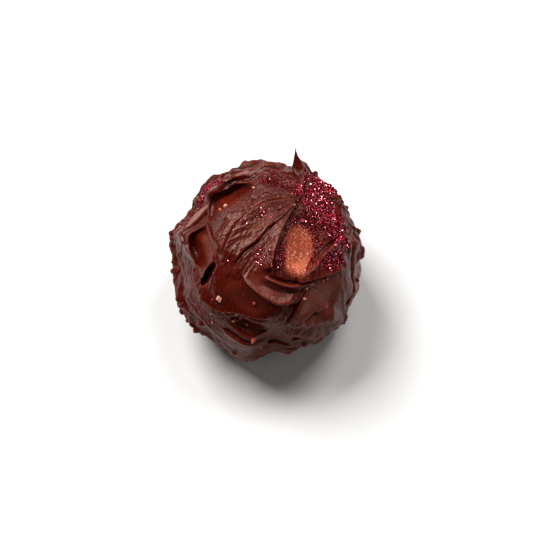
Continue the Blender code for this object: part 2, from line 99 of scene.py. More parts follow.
class Stain(Enum):
    """What a vertex of the coating carries for its finish, each from 0 to 1."""

    BERRY = "berry"
    BARE = "bare"
    SKIN = "skin"
    COPPER = "copper"
    # Thin chocolate, partly a painted glow of light through it.
    THIN = "thin"
    # Bloom, which also carries painted sheen.
    BLOOM = "bloom"
    SMOOTH = "smooth"
    # Edge sharpness, which paints shade into the creases and a highlight onto the edges.
    EDGE = "edge"


def smooth_step(value: Array) -> Array:
    """0 below 0, 1 above 1, and a smooth rise between."""
    value = np.clip(value, 0.0, 1.0)
    return value * value * (3.0 - 2.0 * value)


def beyond(value: Array, start: Pair) -> Array:
    """0 below the start's first number, and 1 where the value is its second further on."""
    return smooth_step((value - start[0]) / start[1])


def until(value: Array, end: Pair) -> Array:
    """0 above the end's first number, and 1 where the value is its second less."""
    return smooth_step((end[0] - value) / end[1])


def unit(vectors: Array) -> Array:
    """The vectors at length 1, row by row."""
    return vectors / np.linalg.norm(vectors, axis=-1, keepdims=True)


def face_point(right: float, up: float, out: float) -> Array:
    """A place given on the face plane, in the ball's own axes."""
    return right * FACE_RIGHT + up * FACE_UP + out * FACE_OUT


def noise_at(places: Array, scale: float, seed: int) -> Array:
    """Smooth noise from about -1 to 1 at each place.

    Args:
        places: Rows of coordinates.
        scale: About the width of a lump, in the same unit.
        seed: Which field of noise is read.

    Returns:
        One value for each place.
    """
    shift = Vector([seed * step for step in FIELD_STEPS])
    return np.array([noise.noise(Vector(place) / scale + shift) for place in places])


@dataclass(frozen=True)
class Grit:
    """Noise of one height and one width, in millimetres, from a field of its own."""

    height: float
    width: float
    seed: int

    def over(self, places: Array) -> Array:
        """Its height at each place."""
        return self.height * noise_at(places, self.width, self.seed)


def link_object(name: str, data: bpy.types.ID) -> bpy.types.Object:
    """Makes an object and links it to the scene.

    Args:
        name: The object's name.
        data: Its mesh, light or camera.

    Returns:
        The object, unturned at the origin.
    """
    made = bpy.data.objects.new(name, data)
    bpy.context.scene.collection.objects.link(made)
    return made


def new_piece(name: str, shape: bmesh.types.BMesh) -> bpy.types.Object:
    """Makes a piece and frees the shape.

    Args:
        name: The piece's name.
        shape: What becomes its mesh.

    Returns:
        The piece.
    """
    mesh = bpy.data.meshes.new(name)
    shape.to_mesh(mesh)
    shape.free()
    return link_object(name, mesh)


def linear(code: str) -> tuple[float, float, float, float]:
    """Turns an sRGB colour linear.

    Args:
        code: Its hex code, such as "#4a2018".

    Returns:
        Red, green, blue and 1 for opaque.
    """
    shares = [int(code[k : k + 2], 16) / 255 for k in (1, 3, 5)]
    curved = [s / 12.92 if s <= 0.04045 else ((s + 0.055) / 1.055) ** 2.4 for s in shares]
    return (curved[0], curved[1], curved[2], 1.0)


@dataclass(frozen=True)
class Ball:
    """The uneven ball under the folds, in millimetres from its centre."""

    half_width: float = 16.3
    half_depth: float = 17.3
    crown_height: float = 14.5
    under_depth: float = 12.8
    base_depth: float = 9.75
    # How softly the side turns into the flat base, and above how many times that it is untouched.
    foot_rounding: float = 0.5
    foot_reach: float = 8.0
    # Rounds in which a place on the face settles on the surface.
    settling_rounds: int = 30

    def radius(self, directions: Array) -> Array:
        """Distance from the centre to the surface in each direction."""
        x, y, z = directions.T
        half_height = np.where(z > 0.0, self.crown_height, self.under_depth)
        shares = (x / self.half_width) ** 2 + (y / self.half_depth) ** 2 + (z / half_height) ** 2
        return 1.0 / np.sqrt(shares)

    def onto(self, points: Array) -> Array:
        """The points moved along their radius onto the surface."""
        directions = unit(points)
        return directions * self.radius(directions)[:, None]

    def on_face(self, right: float, up: float) -> Array:
        """The surface point that is seen at (right, up) from in front of the face.

        Args:
            right: How far right, in millimetres.
            up: How far up, in millimetres.

        Returns:
            The point.
        """
        out = self.crown_height
        for _ in range(self.settling_rounds):
            point = face_point(right, up, out)
            out *= self.radius(unit(point)[None])[0] / np.linalg.norm(point)
        return self.onto(face_point(right, up, out)[None])[0]

    def on_side(self, bearing: float, level: float) -> Array:
        """The surface point at a bearing in degrees and a height above the base.

        Args:
            bearing: The bearing round the ball.
            level: The height in millimetres.

        Returns:
            The point.
        """
        z = level - self.base_depth
        half_height = self.crown_height if z > 0.0 else self.under_depth
        girth = math.sqrt(1.0 - (z / half_height) ** 2)
        angle = math.radians(bearing)
        x = self.half_width * girth * math.cos(angle)
        y = self.half_depth * girth * math.sin(angle)
        return np.array((x, y, z))

    def set_on_base(self, points: Array) -> Array:
        """Presses the underside flat and moves the origin to the middle of the base.

        Args:
            points: Places round the ball's centre, in rows.

        Returns:
            The moved points.
        """
        raised = points + (0.0, 0.0, self.base_depth)
        z = raised[:, 2] / self.foot_rounding
        low = np.minimum(z, self.foot_reach)
        pressed = np.where(z > self.foot_reach, z, np.log1p(np.exp(low)))
        raised[:, 2] = self.foot_rounding * pressed
        return raised


@dataclass
class Relief:
    """What stands on the ball: at each of its points, a height and a shift sideways."""

    points: Array
    directions: Array

    def __post_init__(self) -> None:
        """Starts from the bare ball."""
        self.heights = np.zeros(len(self.points))
        self.shifts = np.zeros((len(self.points), 3))
        out = np.clip(self.directions @ FACE_OUT, -1.0, 1.0)
        self.angle = np.arccos(out)

    def surface(self) -> Array:
        """The points with their heights and shifts."""
        return self.points + self.heights[:, None] * self.directions + self.shifts


@dataclass(frozen=True)
class Route:
    """A smooth curve on the ball, as a row of close points."""

    points: Array

    @classmethod
    def through(cls, ball: Ball, controls: list[Array], samples: int = 8) -> Route:
        """A curve on the ball through control points.

        Args:
            ball: The ball that the curve lies on.
            controls: The points, in order.
            samples: Points on each span between two controls.

        Returns:
            The route.
        """
        nodes = np.array(controls)
        ends = (2 * nodes[0] - nodes[1], 2 * nodes[-1] - nodes[-2])
        padded = np.vstack((ends[0], nodes, ends[1]))
        rows = []
        for k in range(len(nodes) - 1):
            before, start, end, after = padded[k : k + 4]
            for t in np.arange(samples) / samples:
                bend = (2 * before - 5 * start + 4 * end - after) * t * t
                twist = (3 * start - before - 3 * end + after) * t**3
                rows.append(0.5 * (2 * start + (end - before) * t + bend + twist))
        rows.append(nodes[-1])
        return cls(ball.onto(np.array(rows)))

    @classmethod
    def on_face(cls, ball: Ball, places: tuple[Pair, ...]) -> Route:
        """A curve through (right, up) places of the swept face."""
        return cls.through(ball, [ball.on_face(right, up) for right, up in places])

    def beside(self, points: Array) -> tuple[Array, Array, Array]:
        """Where points lie beside the route.

        Args:
            points: Rows of coordinates.

        Returns:
            How far each lies to the left of the route, how far along it, from 0 to 1, and the
            direction to the left there.
        """
        distance = np.full(len(points), np.inf)
        left = np.zeros(len(points))
        along = np.zeros(len(points))
        aside = np.zeros((len(points), 3))
        last = len(self.points) - 1
        for k, (start, end) in enumerate(zip(self.points[:-1], self.points[1:])):
            step = end - start
            share = np.clip((points - start) @ step / (step @ step), 0.0, 1.0)
            offset = points - start - share[:, None] * step
            away = np.linalg.norm(offset, axis=1)
            nearer = away < distance
            leftward = np.cross(unit((start + end) / 2), unit(step))
            side = np.where(offset @ leftward < 0.0, -1.0, 1.0)
            distance[nearer] = away[nearer]
            left[nearer] = (side * away)[nearer]
            along[nearer] = ((k + share) / last)[nearer]
            aside[nearer] = leftward
        return left, along, aside

    def near(self, points: Array, reach: float) -> Array:
        """The indices of the points that may lie within reach of the route.

        Args:
            points: Places on the ball, in rows.
            reach: The distance in millimetres.

        Returns:
            The indices.
        """
        middle = (self.points.max(axis=0) + self.points.min(axis=0)) / 2
        span = np.linalg.norm(self.points - middle, axis=1).max() + reach
        return np.flatnonzero(np.linalg.norm(points - middle, axis=1) < span)


def faded(along: Array, fade: float) -> Array:
    """1 along the middle of a route, and 0 at both of its ends."""
    return smooth_step(along / fade) * smooth_step((1.0 - along) / fade)


# The profile that all folds share: how steeply the slope falls, where the bead and the trough run
# and how wide they are, how far apart the knife's lines lie across and along, and how far the lines
# and the overhang reach. BEAD_PLACE is in millimetres, TROUGH_PLACE a share of the wall.
SLOPE_POWER = 1.4
BEAD_PLACE = 0.25
BEAD_WIDTH = 0.2
TROUGH_PLACE = 0.6
TROUGH_WIDTH = 0.28
STROKE_SPACING = 0.32
STROKE_SAMPLES = 22.0
STROKE_REACH = (0.4, 0.6)
OVERHANG_REACH = 0.7
FOLD_REACH = (1.0, 1.2)


@dataclass(frozen=True)
class Fold:
    """A lip that drops by height over wall on the right of its route and slopes away on the left.

    Attributes:
        route: (right, up) places on the face.
        height: How far the lip stands up.
        run: How far its slope runs out on the left.
        wall: The width of its drop on the right.
        fade: The share of the route over which each end dies away.
        bead: How far the lip's edge is rolled, as a share of its height.
        trough: How far the foot of the drop is sunk, as a share of its height.
        strokes: The depth of the knife's lines along it.
        overhang: How far the lip leans out over its foot.
    """

    route: tuple[Pair, ...]
    height: float
    run: float
    wall: float
    fade: float
    bead: float = 0.0
    trough: float = 0.3
    strokes: float = 0.1
    overhang: float = 0.0

    def raise_along(self, relief: Relief, route: Route) -> None:
        """Adds the lip along any route to the relief.

        Args:
            relief: What is added to.
            route: The route.
        """
        near = route.near(relief.points, FOLD_REACH[1] * self.run + FOLD_REACH[0])
        left, along, aside = route.beside(relief.points[near])
        top = smooth_step(left / self.wall + 0.5)
        lip = top * np.maximum(1.0 - np.maximum(left, 0.0) / self.run, 0.0) ** SLOPE_POWER
        lip += self.bead * np.exp(-(((left - BEAD_PLACE) / BEAD_WIDTH) ** 2))
        lip -= self.trough * np.exp(-(((left + TROUGH_PLACE * self.wall) / TROUGH_WIDTH) ** 2))
        lengthwise = along * len(route.points) / STROKE_SAMPLES
        rows = np.stack((left / STROKE_SPACING, lengthwise, 0.0 * left), axis=1)
        # Folds of another height or run read another field of noise.
        lines = noise_at(rows, 1.0, int(40 * self.height + 7 * self.run))
        beside = np.exp(-((np.abs(left) / (STROKE_REACH[0] + STROKE_REACH[1] * self.run)) ** 2))
        share = faded(along, self.fade)
        relief.heights[near] += share * (self.height * lip + self.strokes * beside * lines)
        hang = self.overhang * share * top * np.exp(-((np.maximum(left, 0.0) / OVERHANG_REACH) ** 2))
        relief.shifts[near] -= hang[:, None] * aside

    def add_to(self, relief: Relief, ball: Ball) -> None:
        """Adds the lip along its own route."""
        self.raise_along(relief, Route.on_face(ball, self.route))


@dataclass(frozen=True)
class Crest:
    """A rounded crest along its route, or a groove where its height is negative.

    Attributes:
        route: (right, up) places on the face.
        height: How far it stands up.
        width: How far from its middle it has fallen to about a third.
        fade: The share of the route over which each end dies away.
        straight: Whether it stands straight out of the face, and not square to the ball.
    """

    REACH = 4

    route: tuple[Pair, ...]
    height: float
    width: float
    fade: float
    straight: bool = False

    def add_to(self, relief: Relief, ball: Ball) -> None:
        """Adds the crest to the relief.

        Args:
            relief: What is added to.
            ball: The ball under the face.
        """
        route = Route.on_face(ball, self.route)
        near = route.near(relief.points, self.REACH * self.width)
        left, along, _ = route.beside(relief.points[near])
        crest = self.height * faded(along, self.fade) * np.exp(-((left / self.width) ** 2))
        if self.straight:
            relief.shifts[near] += crest[:, None] * FACE_OUT
        else:
            relief.heights[near] += crest


@dataclass(frozen=True)
class Oval:
    """An oval on the swept face.

    Attributes:
        centre: Its (right, up) place.
        length: Half its length.
        width: Half its width.
        bearing: The direction of its length on the face, in degrees.
    """

    # What stands for a place on the far side of the ball, well outside the oval.
    OFF = 9.0

    centre: Pair
    length: float
    width: float
    bearing: float

    def place(self, points: Array, ball: Ball) -> tuple[Array, Array]:
        """How far each point lies along and across the oval, with 1 at its rim.

        Args:
            points: Places on the ball, in rows.
            ball: The ball under the face.

        Returns:
            The distances along it, and the ones across.
        """
        centre = ball.on_face(*self.centre)
        angle = math.radians(self.bearing)
        outward = unit(centre)
        lengthwise = math.cos(angle) * FACE_RIGHT + math.sin(angle) * FACE_UP
        lengthwise = unit(lengthwise - (lengthwise @ outward) * outward)
        offset = points - centre
        along = offset @ lengthwise / self.length
        across = offset @ np.cross(outward, lengthwise) / self.width
        behind = points @ outward < 0.0
        return np.where(behind, self.OFF, along), np.where(behind, self.OFF, across)


@dataclass(frozen=True)
class Hollow(Oval):
    """An oval bowl sunk straight into the face.

    Attributes:
        depth: How deep it is.
        lean: How much deeper it is on its left.
        rounding: Below 1 its walls are steep, and above 1 its rim is soft.
    """

    depth: float
    lean: float
    rounding: float

    def add_to(self, relief: Relief, ball: Ball) -> None:
        """Sinks the bowl in the relief.

        Args:
            relief: What is added to.
            ball: The ball under the face.
        """
        along, across = self.place(relief.points, ball)
        inside = np.maximum(1.0 - along**2 - across**2, 0.0)
        deepened = 1.0 + self.lean * np.clip(across, -1.0, 1.0)
        relief.shifts -= (self.depth * deepened * inside**self.rounding)[:, None] * FACE_OUT


@dataclass(frozen=True)
class Flat(Oval):
    """An oval patch that the knife left plane.

    Attributes:
        lift: How far its centre stands out.
        lean: How far it leans right and up, as parts of its direction.
        crispness: How sharply it ends.
    """

    lift: float
    lean: Pair
    crispness: float = 1.4

    def add_to(self, relief: Relief, ball: Ball) -> None:
        """Presses the relief to the plane.

        Args:
            relief: What is added to.
            ball: The ball under the face.
        """
        points, heights = relief.points, relief.heights
        centre = ball.on_face(*self.centre)
        outward = unit(centre)
        normal = unit(outward + self.lean[0] * FACE_RIGHT + self.lean[1] * FACE_UP)
        along, across = self.place(points, ball)
        share = smooth_step(self.crispness * (1.0 - along**2 - across**2))
        near = np.flatnonzero(share)
        reach = np.linalg.norm(points[near], axis=1)
        level = (centre + self.lift * outward) @ normal
        plane = level / (points[near] @ normal / reach) - reach
        heights[near] += share[near] * (plane - heights[near])
        relief.shifts[near] *= 1.0 - share[near, None]


@dataclass(frozen=True)
class Patch(Oval):
    """An oval stain of one kind, which fades over its rim.

    Attributes:
        stain: Its kind.
        strength: Its share in the middle.
        softness: The width of the rim over which it fades, as a share of the oval.
    """

    stain: Stain
    strength: float
    softness: float = 0.6

    def add_to(self, shares: dict[Stain, Array], points: Array, ball: Ball) -> None:
        """Raises the points' share of the stain to the patch's.

        Args:
            shares: Each stain's share at each point.
            points: Places on the ball, in rows.
            ball: The ball under the face.
        """
        along, across = self.place(points, ball)
        inside = smooth_step((1.0 - np.hypot(along, across)) / self.softness)
        kept = shares[self.stain]
        np.maximum(kept, self.strength * inside, out=kept)


FACE_FOLDS = (
    # The petal that sweeps down from the tail, and the crease through it.
    Fold(
        ((5.8, 10.9), (0.2, 9.9), (-2.3, 8.7), (-4.4, 6.7), (-6.0, 4.4), (-7.7, -0.2)),
        0.8, 4.5, 0.25, 0.1, 0.0, 0.7,
    ),
    Fold(
        ((-5.6, -0.7), (-3.6, 1.9), (-1.4, 3.6), (0.6, 5.8), (2.6, 7.2), (5.4, 10.2)),
        0.45, 2.2, 0.25, 0.12, 0.1, 0.3, 0.07, 0.12,
    ),
    # The left side of the big dimple, the roll of the band under it and the band's lower edge.
    Fold(
        ((1.2, -1.6), (1.2, 0.5), (2.8, 5.4), (5.4, 10.0)),
        0.9, 2.0, 0.4, 0.12, 0.1, 0.3, 0.07, 0.3,
    ),
    Fold(
        ((8.6, -3.3), (6.7, -3.7), (4.7, -3.9), (3.0, -3.7), (0.0, -2.5)),
        0.5, 1.0, 0.3, 0.15, 0.2, 1.2, 0.02,
    ),
    Fold(
        ((-4.4, -1.9), (-0.7, -5.3), (1.1, -6.5), (2.8, -7.0), (6.7, -6.3)),
        0.7, 1.7, 0.25, 0.1, 0.15, 0.4, 0.02, 0.35,
    ),
    # The lobe turned over on the right: its lower wall, and its edge towards the dimple.
    Fold(
        ((5.4, -3.5), (7.0, -3.0), (11.0, -1.8), (14.4, -0.2)),
        1.1, 3.2, 0.35, 0.12, 0.0, 0.5, 0.05, 0.5,
    ),
    Fold(((13.8, 4.7), (11.0, 2.5), (8.1, -0.4), (7.2, -1.9)), 0.65, 2.4, 0.6, 0.15, 0.1, 0.6),
    # The straight step, its toe and the shelf that undercuts the lower right.
    Fold(
        ((7.7, -4.2), (7.0, -5.6), (4.7, -9.3), (3.7, -11.2)),
        0.3, 5.0, 0.15, 0.08, 0.0, 1.0, 0.0, 0.15,
    ),
    Fold(
        ((3.9, -11.3), (5.4, -11.6), (7.0, -10.6), (8.6, -10.9), (10.2, -10.0), (12.4, -9.6)),
        0.6, 2.2, 0.25, 0.15, 0.0, 0.4, 0.04, 0.3,
    ),
    Fold(
        ((6.7, -10.3), (8.1, -9.2), (9.6, -8.4), (11.6, -7.4)),
        0.2, 1.4, 0.15, 0.25, 0.0, 0.3, 0.0,
    ),
    Fold(
        ((2.6, -13.1), (5.3, -13.1), (10.0, -12.6), (11.4, -11.7)),
        0.9, 2.6, 0.35, 0.2, 0.0, 1.0, 0.05, 0.5,
    ),
    # The lip of the smooth patch, the tongue at the bottom and the smears to the left of it.
    Fold(
        ((-11.4, -5.4), (-8.4, -8.2), (-4.0, -9.0), (1.2, -10.2)),
        0.5, 1.8, 0.2, 0.12, 0.2, 0.3, 0.05, 0.25,
    ),
    Fold(((0.5, -14.5), (-1.6, -14.0), (-3.9, -13.2), (-7.7, -11.4)), 0.6, 2.6, 0.3, 0.12, 0.1),
    Fold(
        ((-14.2, -6.1), (-12.6, -8.2), (-10.5, -10.5), (-6.0, -14.7)),
        0.6, 2.6, 0.25, 0.12, 0.0, 0.4, 0.18, 0.3,
    ),
    Fold(
        ((-13.8, -0.2), (-13.0, -2.8), (-11.6, -5.3), (-9.8, -7.4)),
        0.5, 1.6, 0.2, 0.2, 0.0, 0.4, 0.18, 0.2,
    ),
    # The rim of the upper left hollow, and the rim outside it.
    Fold(
        ((-10.9, 10.6), (-9.2, 12.0), (-6.5, 14.2), (-4.4, 14.9), (-2.3, 14.9)),
        0.55, 1.3, 0.25, 0.12, 0.4, 0.3, 0.02, 0.1,
    ),
    Fold(
        ((-8.6, 14.2), (-6.5, 15.2), (-4.4, 16.0), (0.5, 16.5), (4.0, 16.3)),
        0.6, 1.3, 0.25, 0.12, 0.3, 0.6, 0.1, 0.2,
    ),
    # The right side of the left hollow, and the leaf beside the right rim.
    Fold(
        ((-8.1, 0.5), (-8.4, 2.5), (-9.5, 4.6), (-11.7, 8.1)),
        0.6, 0.8, 0.2, 0.15, 0.0, 0.5, 0.05, 0.2,
    ),
    Fold(((14.0, 7.7), (12.8, 9.5), (11.4, 10.6), (9.8, 11.2)), 0.6, 1.5, 0.25, 0.15),
    # The upper lip of the slit, which hangs over it.
    Fold(((-11.5, -3.1), (-10.3, -1.7), (-8.6, 0.0)), 0.3, 1.0, 0.2, 0.2, 0.1, 0.2, 0.0, 0.5),
)
FACE_CRESTS = (
    # The spine that runs up to the tail, with the shadowed groove on its right.
    Crest(((5.6, 10.2), (5.8, 11.4), (6.4, 14.7), (6.1, 17.4)), 0.7, 0.3, 0.12),
    Crest(((6.2, 9.8), (6.6, 12.2), (7.1, 14.6), (6.9, 16.8)), -0.3, 0.3, 0.15),
    # The crevice outside the knife-edged facet.
    Crest(((-14.5, 6.2), (-13.4, 7.9), (-12.1, 9.4), (-10.8, 11.0)), -0.9, 0.16, 0.12),
    # The roll of the rim, which catches the light.
    Crest(
        ((-10.8, 11.0), (-9.0, 12.4), (-6.6, 14.6), (-4.0, 15.4), (-1.2, 15.3)),
        1.0, 0.7, 0.2, True,
    ),
    # The ridge outside the knife-edged facet, and the knobbly one to the right of the upper hollow.
    Crest(((-13.7, 7.0), (-12.8, 8.5), (-11.7, 9.8), (-9.3, 13.0)), 0.4, 0.28, 0.2),
    Crest(((-2.3, 13.8), (-2.1, 12.1), (-3.5, 9.5)), 0.4, 0.35, 0.3),
    # The layers of the right side.
    Crest(((13.5, 7.9), (13.1, 5.8), (13.3, 4.0), (14.7, -0.2)), 0.5, 0.3, 0.2),
    Crest(((14.2, 6.8), (14.4, 4.4), (14.9, 1.9), (14.9, -4.2)), -0.6, 0.35, 0.15),
    Crest(((14.7, 6.8), (15.6, 4.4), (16.0, 1.6), (15.8, -1.2)), 0.4, 0.3, 0.2),
    # The right edge of the big facet, and the groove beyond it.
    Crest(((12.8, -4.0), (13.3, -6.5), (13.7, -8.9), (13.3, -10.5)), 0.25, 0.2, 0.2),
    Crest(((14.9, -1.9), (14.9, -4.2), (14.4, -6.5), (13.8, -7.9)), -0.6, 0.35, 0.2),
    # The band's two rolls and its furrow.
    Crest(((-0.5, -2.5), (1.6, -3.4), (3.2, -4.0), (7.0, -4.5)), 0.45, 0.4, 0.2),
    Crest(((-3.7, -2.6), (-1.6, -4.5), (1.1, -6.1), (2.8, -6.6), (5.3, -6.0)), 0.6, 0.38, 0.15),
    Crest(((-1.6, -3.3), (1.8, -4.9), (6.0, -5.3)), -0.25, 0.45, 0.2),
    # The ridge on the left of the left hollow.
    Crest(((-15.0, 5.8), (-14.7, 3.4), (-13.7, 1.0), (-12.3, -1.2)), 0.8, 0.7, 0.2, True),
    # The smooth edge of the turned lobe.
    Crest(((10.6, 2.4), (8.8, 0.4), (7.7, -1.8)), 0.4, 0.45, 0.2),
    # The lip at the bottom and the dark gap under the shelf.
    Crest(((0.4, -15.6), (2.6, -15.3), (8.2, -14.7)), 0.7, 0.4, 0.15),
    Crest(((4.6, -14.2), (7.0, -13.7), (9.6, -12.9)), -0.7, 0.35, 0.3),
    # The dark notch in the foot of the big facet.
    Crest(((6.3, -10.5), (7.9, -9.8), (9.7, -8.8)), -0.55, 0.3, 0.25),
)
HOLLOWS = (
    # The scoop at the upper left and the one below it, then the big dimple with the copper dust.
    Hollow((-6.6, 11.2), 5.4, 3.8, 38, 2.5, 0.8, 0.9),
    Hollow((-11.5, 2.8), 4.3, 3.3, -60, 2.9, -0.5, 0.9),
    Hollow((6.8, 3.2), 7.2, 5.0, 66, 1.3, 0.0, 1.6),
    # The dip to the left of the tail, the deep slit, and the scoop above the tongue.
    Hollow((1.9, 13.3), 4.4, 2.1, -6, 0.8, 0.0, 1.4),
    Hollow((-10.0, -2.2), 2.6, 1.1, 46, 2.6, 0.5, 0.6),
    Hollow((-3.0, -11.4), 3.8, 1.6, -22, 1.6, 0.3, 0.9),
    # The dip beside the straight step, the gap under the shelf and the foot of the tail.
    Hollow((4.7, -7.5), 2.2, 1.3, 60, 0.6, 0.0, 1.4),
    Hollow((6.9, -13.6), 2.8, 0.6, 14, 0.7, 0.0, 1.0),
    Hollow((7.2, 10.2), 2.0, 1.2, 80, 0.6, 0.0, 1.3),
)
FLATS = (
    # The big facet, the smooth patch, the tongue at the bottom and the petal beside the tail.
    Flat((9.3, -6.8), 6.0, 4.2, 50, -0.5, (0.02, 0.10)),
    Flat((-1.8, -6.4), 5.4, 2.8, -20, -0.3, (0.0, 0.04), 1.0),
    Flat((-3.0, -15.1), 4.0, 2.0, -14, 0.2, (0.0, 0.08)),
    Flat((-0.3, 7.2), 3.2, 1.7, 44, 0.0, (-0.2, 0.04)),
)
# The knife-edged facet of the upper left rim, plane and bright between hollow and crevice, and the
# thin crevice that runs along it.
KNIFE_FACET = Flat((-12.4, 8.2), 3.8, 0.6, 56, -0.6, (0.66, -0.37), 3.0)
KNIFE_CREVICE = Crest(((-14.7, 6.3), (-13.5, 8.1), (-12.3, 9.7), (-11.0, 11.2)), -0.6, 0.12, 0.1)
# Where the outline swells or draws in: bearing on the face plane, spread in degrees, height.
OUTLINE = (
    (10, 5, 0.6),
    (45, 30, 0.35),
    (75, 14, -0.2),
    (90, 6, 0.7),
    (112, 22, -0.8),
    (128, 7, 0.6),
    (145, 14, -1.7),
    (161, 5, 0.5),
    (188, 18, -1.4),
    (240, 12, -0.4),
    (258, 9, 0.7),
    (275, 12, -1.7),
    (293, 9, -0.9),
    (321, 5, 0.8),
    (342, 8, 0.6),
)
# Beads of chocolate on the edge of the face, as (bearing, radius).
EDGE_BEADS = (
    (5, 1.15),
    (40, 0.45),
    (60, 0.45),
    (163, 0.5),
    (171, 0.45),
    (207, 1.05),
    (217, 0.6),
    (229, 0.6),
    (238, 0.6),
    (255, 0.95),
    (265, 0.6),
    (323, 0.65),
)
PATCHES = (
    # Thin chocolate in the two left hollows lets the light through brown, painted as a warm glow
    # over the thin chocolate's own warmer tone.
    Patch((-6.3, 10.6), 5.2, 3.4, 38, Stain.THIN, 0.2, 0.9),
    Patch((-10.0, 2.4), 4.1, 2.2, -60, Stain.THIN, 0.75, 1.0),
    Patch((-1.9, 5.8), 1.6, 0.9, 30, Stain.THIN, 0.5),
    Patch((-2.4, -11.9), 2.2, 0.8, -20, Stain.THIN, 0.6),
    # The copper patch in the dimple.
    Patch((5.8, 2.1), 5.3, 3.1, 74, Stain.COPPER, 1.0, 0.35),
    # Greyer chocolate where the knife left it dull, with painted sheen on the facets and petals that
    # face the light.
    Patch((9.6, -7.0), 7.2, 4.6, 55, Stain.BLOOM, 1.0, 0.5),
    Patch((0.2, 1.2), 4.6, 2.4, 50, Stain.BLOOM, 0.8),
    Patch((-0.2, 7.0), 3.4, 1.8, 42, Stain.BLOOM, 0.7),
    Patch((-2.6, -6.4), 6.4, 3.0, -20, Stain.BLOOM, 0.35),
    Patch((1.0, -4.6), 5.6, 2.2, -24, Stain.BLOOM, 0.8),
    # Smooth places that the blade left without lines.
    Patch((-2.6, -6.4), 6.4, 3.0, -20, Stain.SMOOTH, 1.0),
    Patch((-12.6, 8.4), 4.0, 1.6, 53, Stain.SMOOTH, 1.2),
    Patch((9.3, -6.8), 6.6, 4.4, 50, Stain.SMOOTH, 1.0),
    Patch((-11.4, 3.2), 4.2, 1.9, -60, Stain.SMOOTH, 1.0),
    Patch((-6.1, 10.3), 3.0, 1.4, 35, Stain.SMOOTH, 0.8),
    Patch((-3.0, -14.6), 4.4, 2.0, -14, Stain.SMOOTH, 0.9),
    Patch((-7.2, 14.8), 5.6, 1.6, 32, Stain.SMOOTH, 1.1),
    Patch((1.4, -4.3), 5.6, 2.4, -22, Stain.SMOOTH, 1.0),
    Patch((8.9, 0.6), 2.6, 1.1, 52, Stain.SMOOTH, 1.0),
    Patch((5.6, 1.6), 5.3, 3.3, 72, Stain.SMOOTH, 0.8),
    # The spine, where no sugar sticks.
    Patch((6.0, 13.6), 3.8, 0.5, 82, Stain.BARE, 1.0, 0.5),
    # Berry sugar, thickest round the dimple and to the right of the tail.
    Patch((10.0, 8.6), 8.4, 3.7, -63, Stain.BERRY, 1.0, 0.4),
    Patch((9.8, 12.8), 4.8, 2.8, -32, Stain.BERRY, 0.9, 0.5),
    Patch((11.4, 0.5), 3.6, 2.4, 25, Stain.BERRY, 0.8),
    Patch((6.6, 3.6), 7.0, 4.8, 68, Stain.BERRY, 0.62),
    Patch((3.0, 1.0), 4.2, 1.3, 78, Stain.BERRY, 0.75),
    Patch((1.8, 13.7), 4.6, 2.4, -6, Stain.BERRY, 0.45),
    Patch((-0.5, 7.6), 2.8, 1.8, 40, Stain.BERRY, 0.34),
    Patch((-0.4, 1.2), 3.2, 2.6, 60, Stain.BERRY, 0.38),
    Patch((-11.4, 12.6), 8.0, 1.9, 46, Stain.BERRY, 0.75),
)


# The coating's attributes that run with the fan of strokes and across it.
SWEEP = "sweep"
CROSSING = "crossing"

# The noise of the coating, where a height of 1 leaves it as it is: swells and lumps all over, the
# wander of the ridges round the sides, the ridges themselves, the grit between them, the fan's lines
# and what crosses them, the finest grit, the two waves that the side's layers follow and how their
# height varies.
SWELLS = Grit(0.3, 5.5, 1)
LUMPS = Grit(0.12, 2.2, 2)
RIDGE_WANDER = Grit(0.9, 6.0, 3)
RIDGES = Grit(1.0, 1.5, 4)
SIDE_GRIT = Grit(0.3, 1.3, 5)
FAN_LINES = Grit(1.0, 0.55, 6)
CROSSING_LINES = Grit(1.0, 0.5, 10)
FINE_GRIT = Grit(0.03, 0.4, 9)
LAYER_BEND = Grit(2.6, 6.0, 7)
LAYER_RIPPLE = Grit(0.4, 1.7, 11)
LAYER_SWELL = Grit(1.3, 3.2, 12)


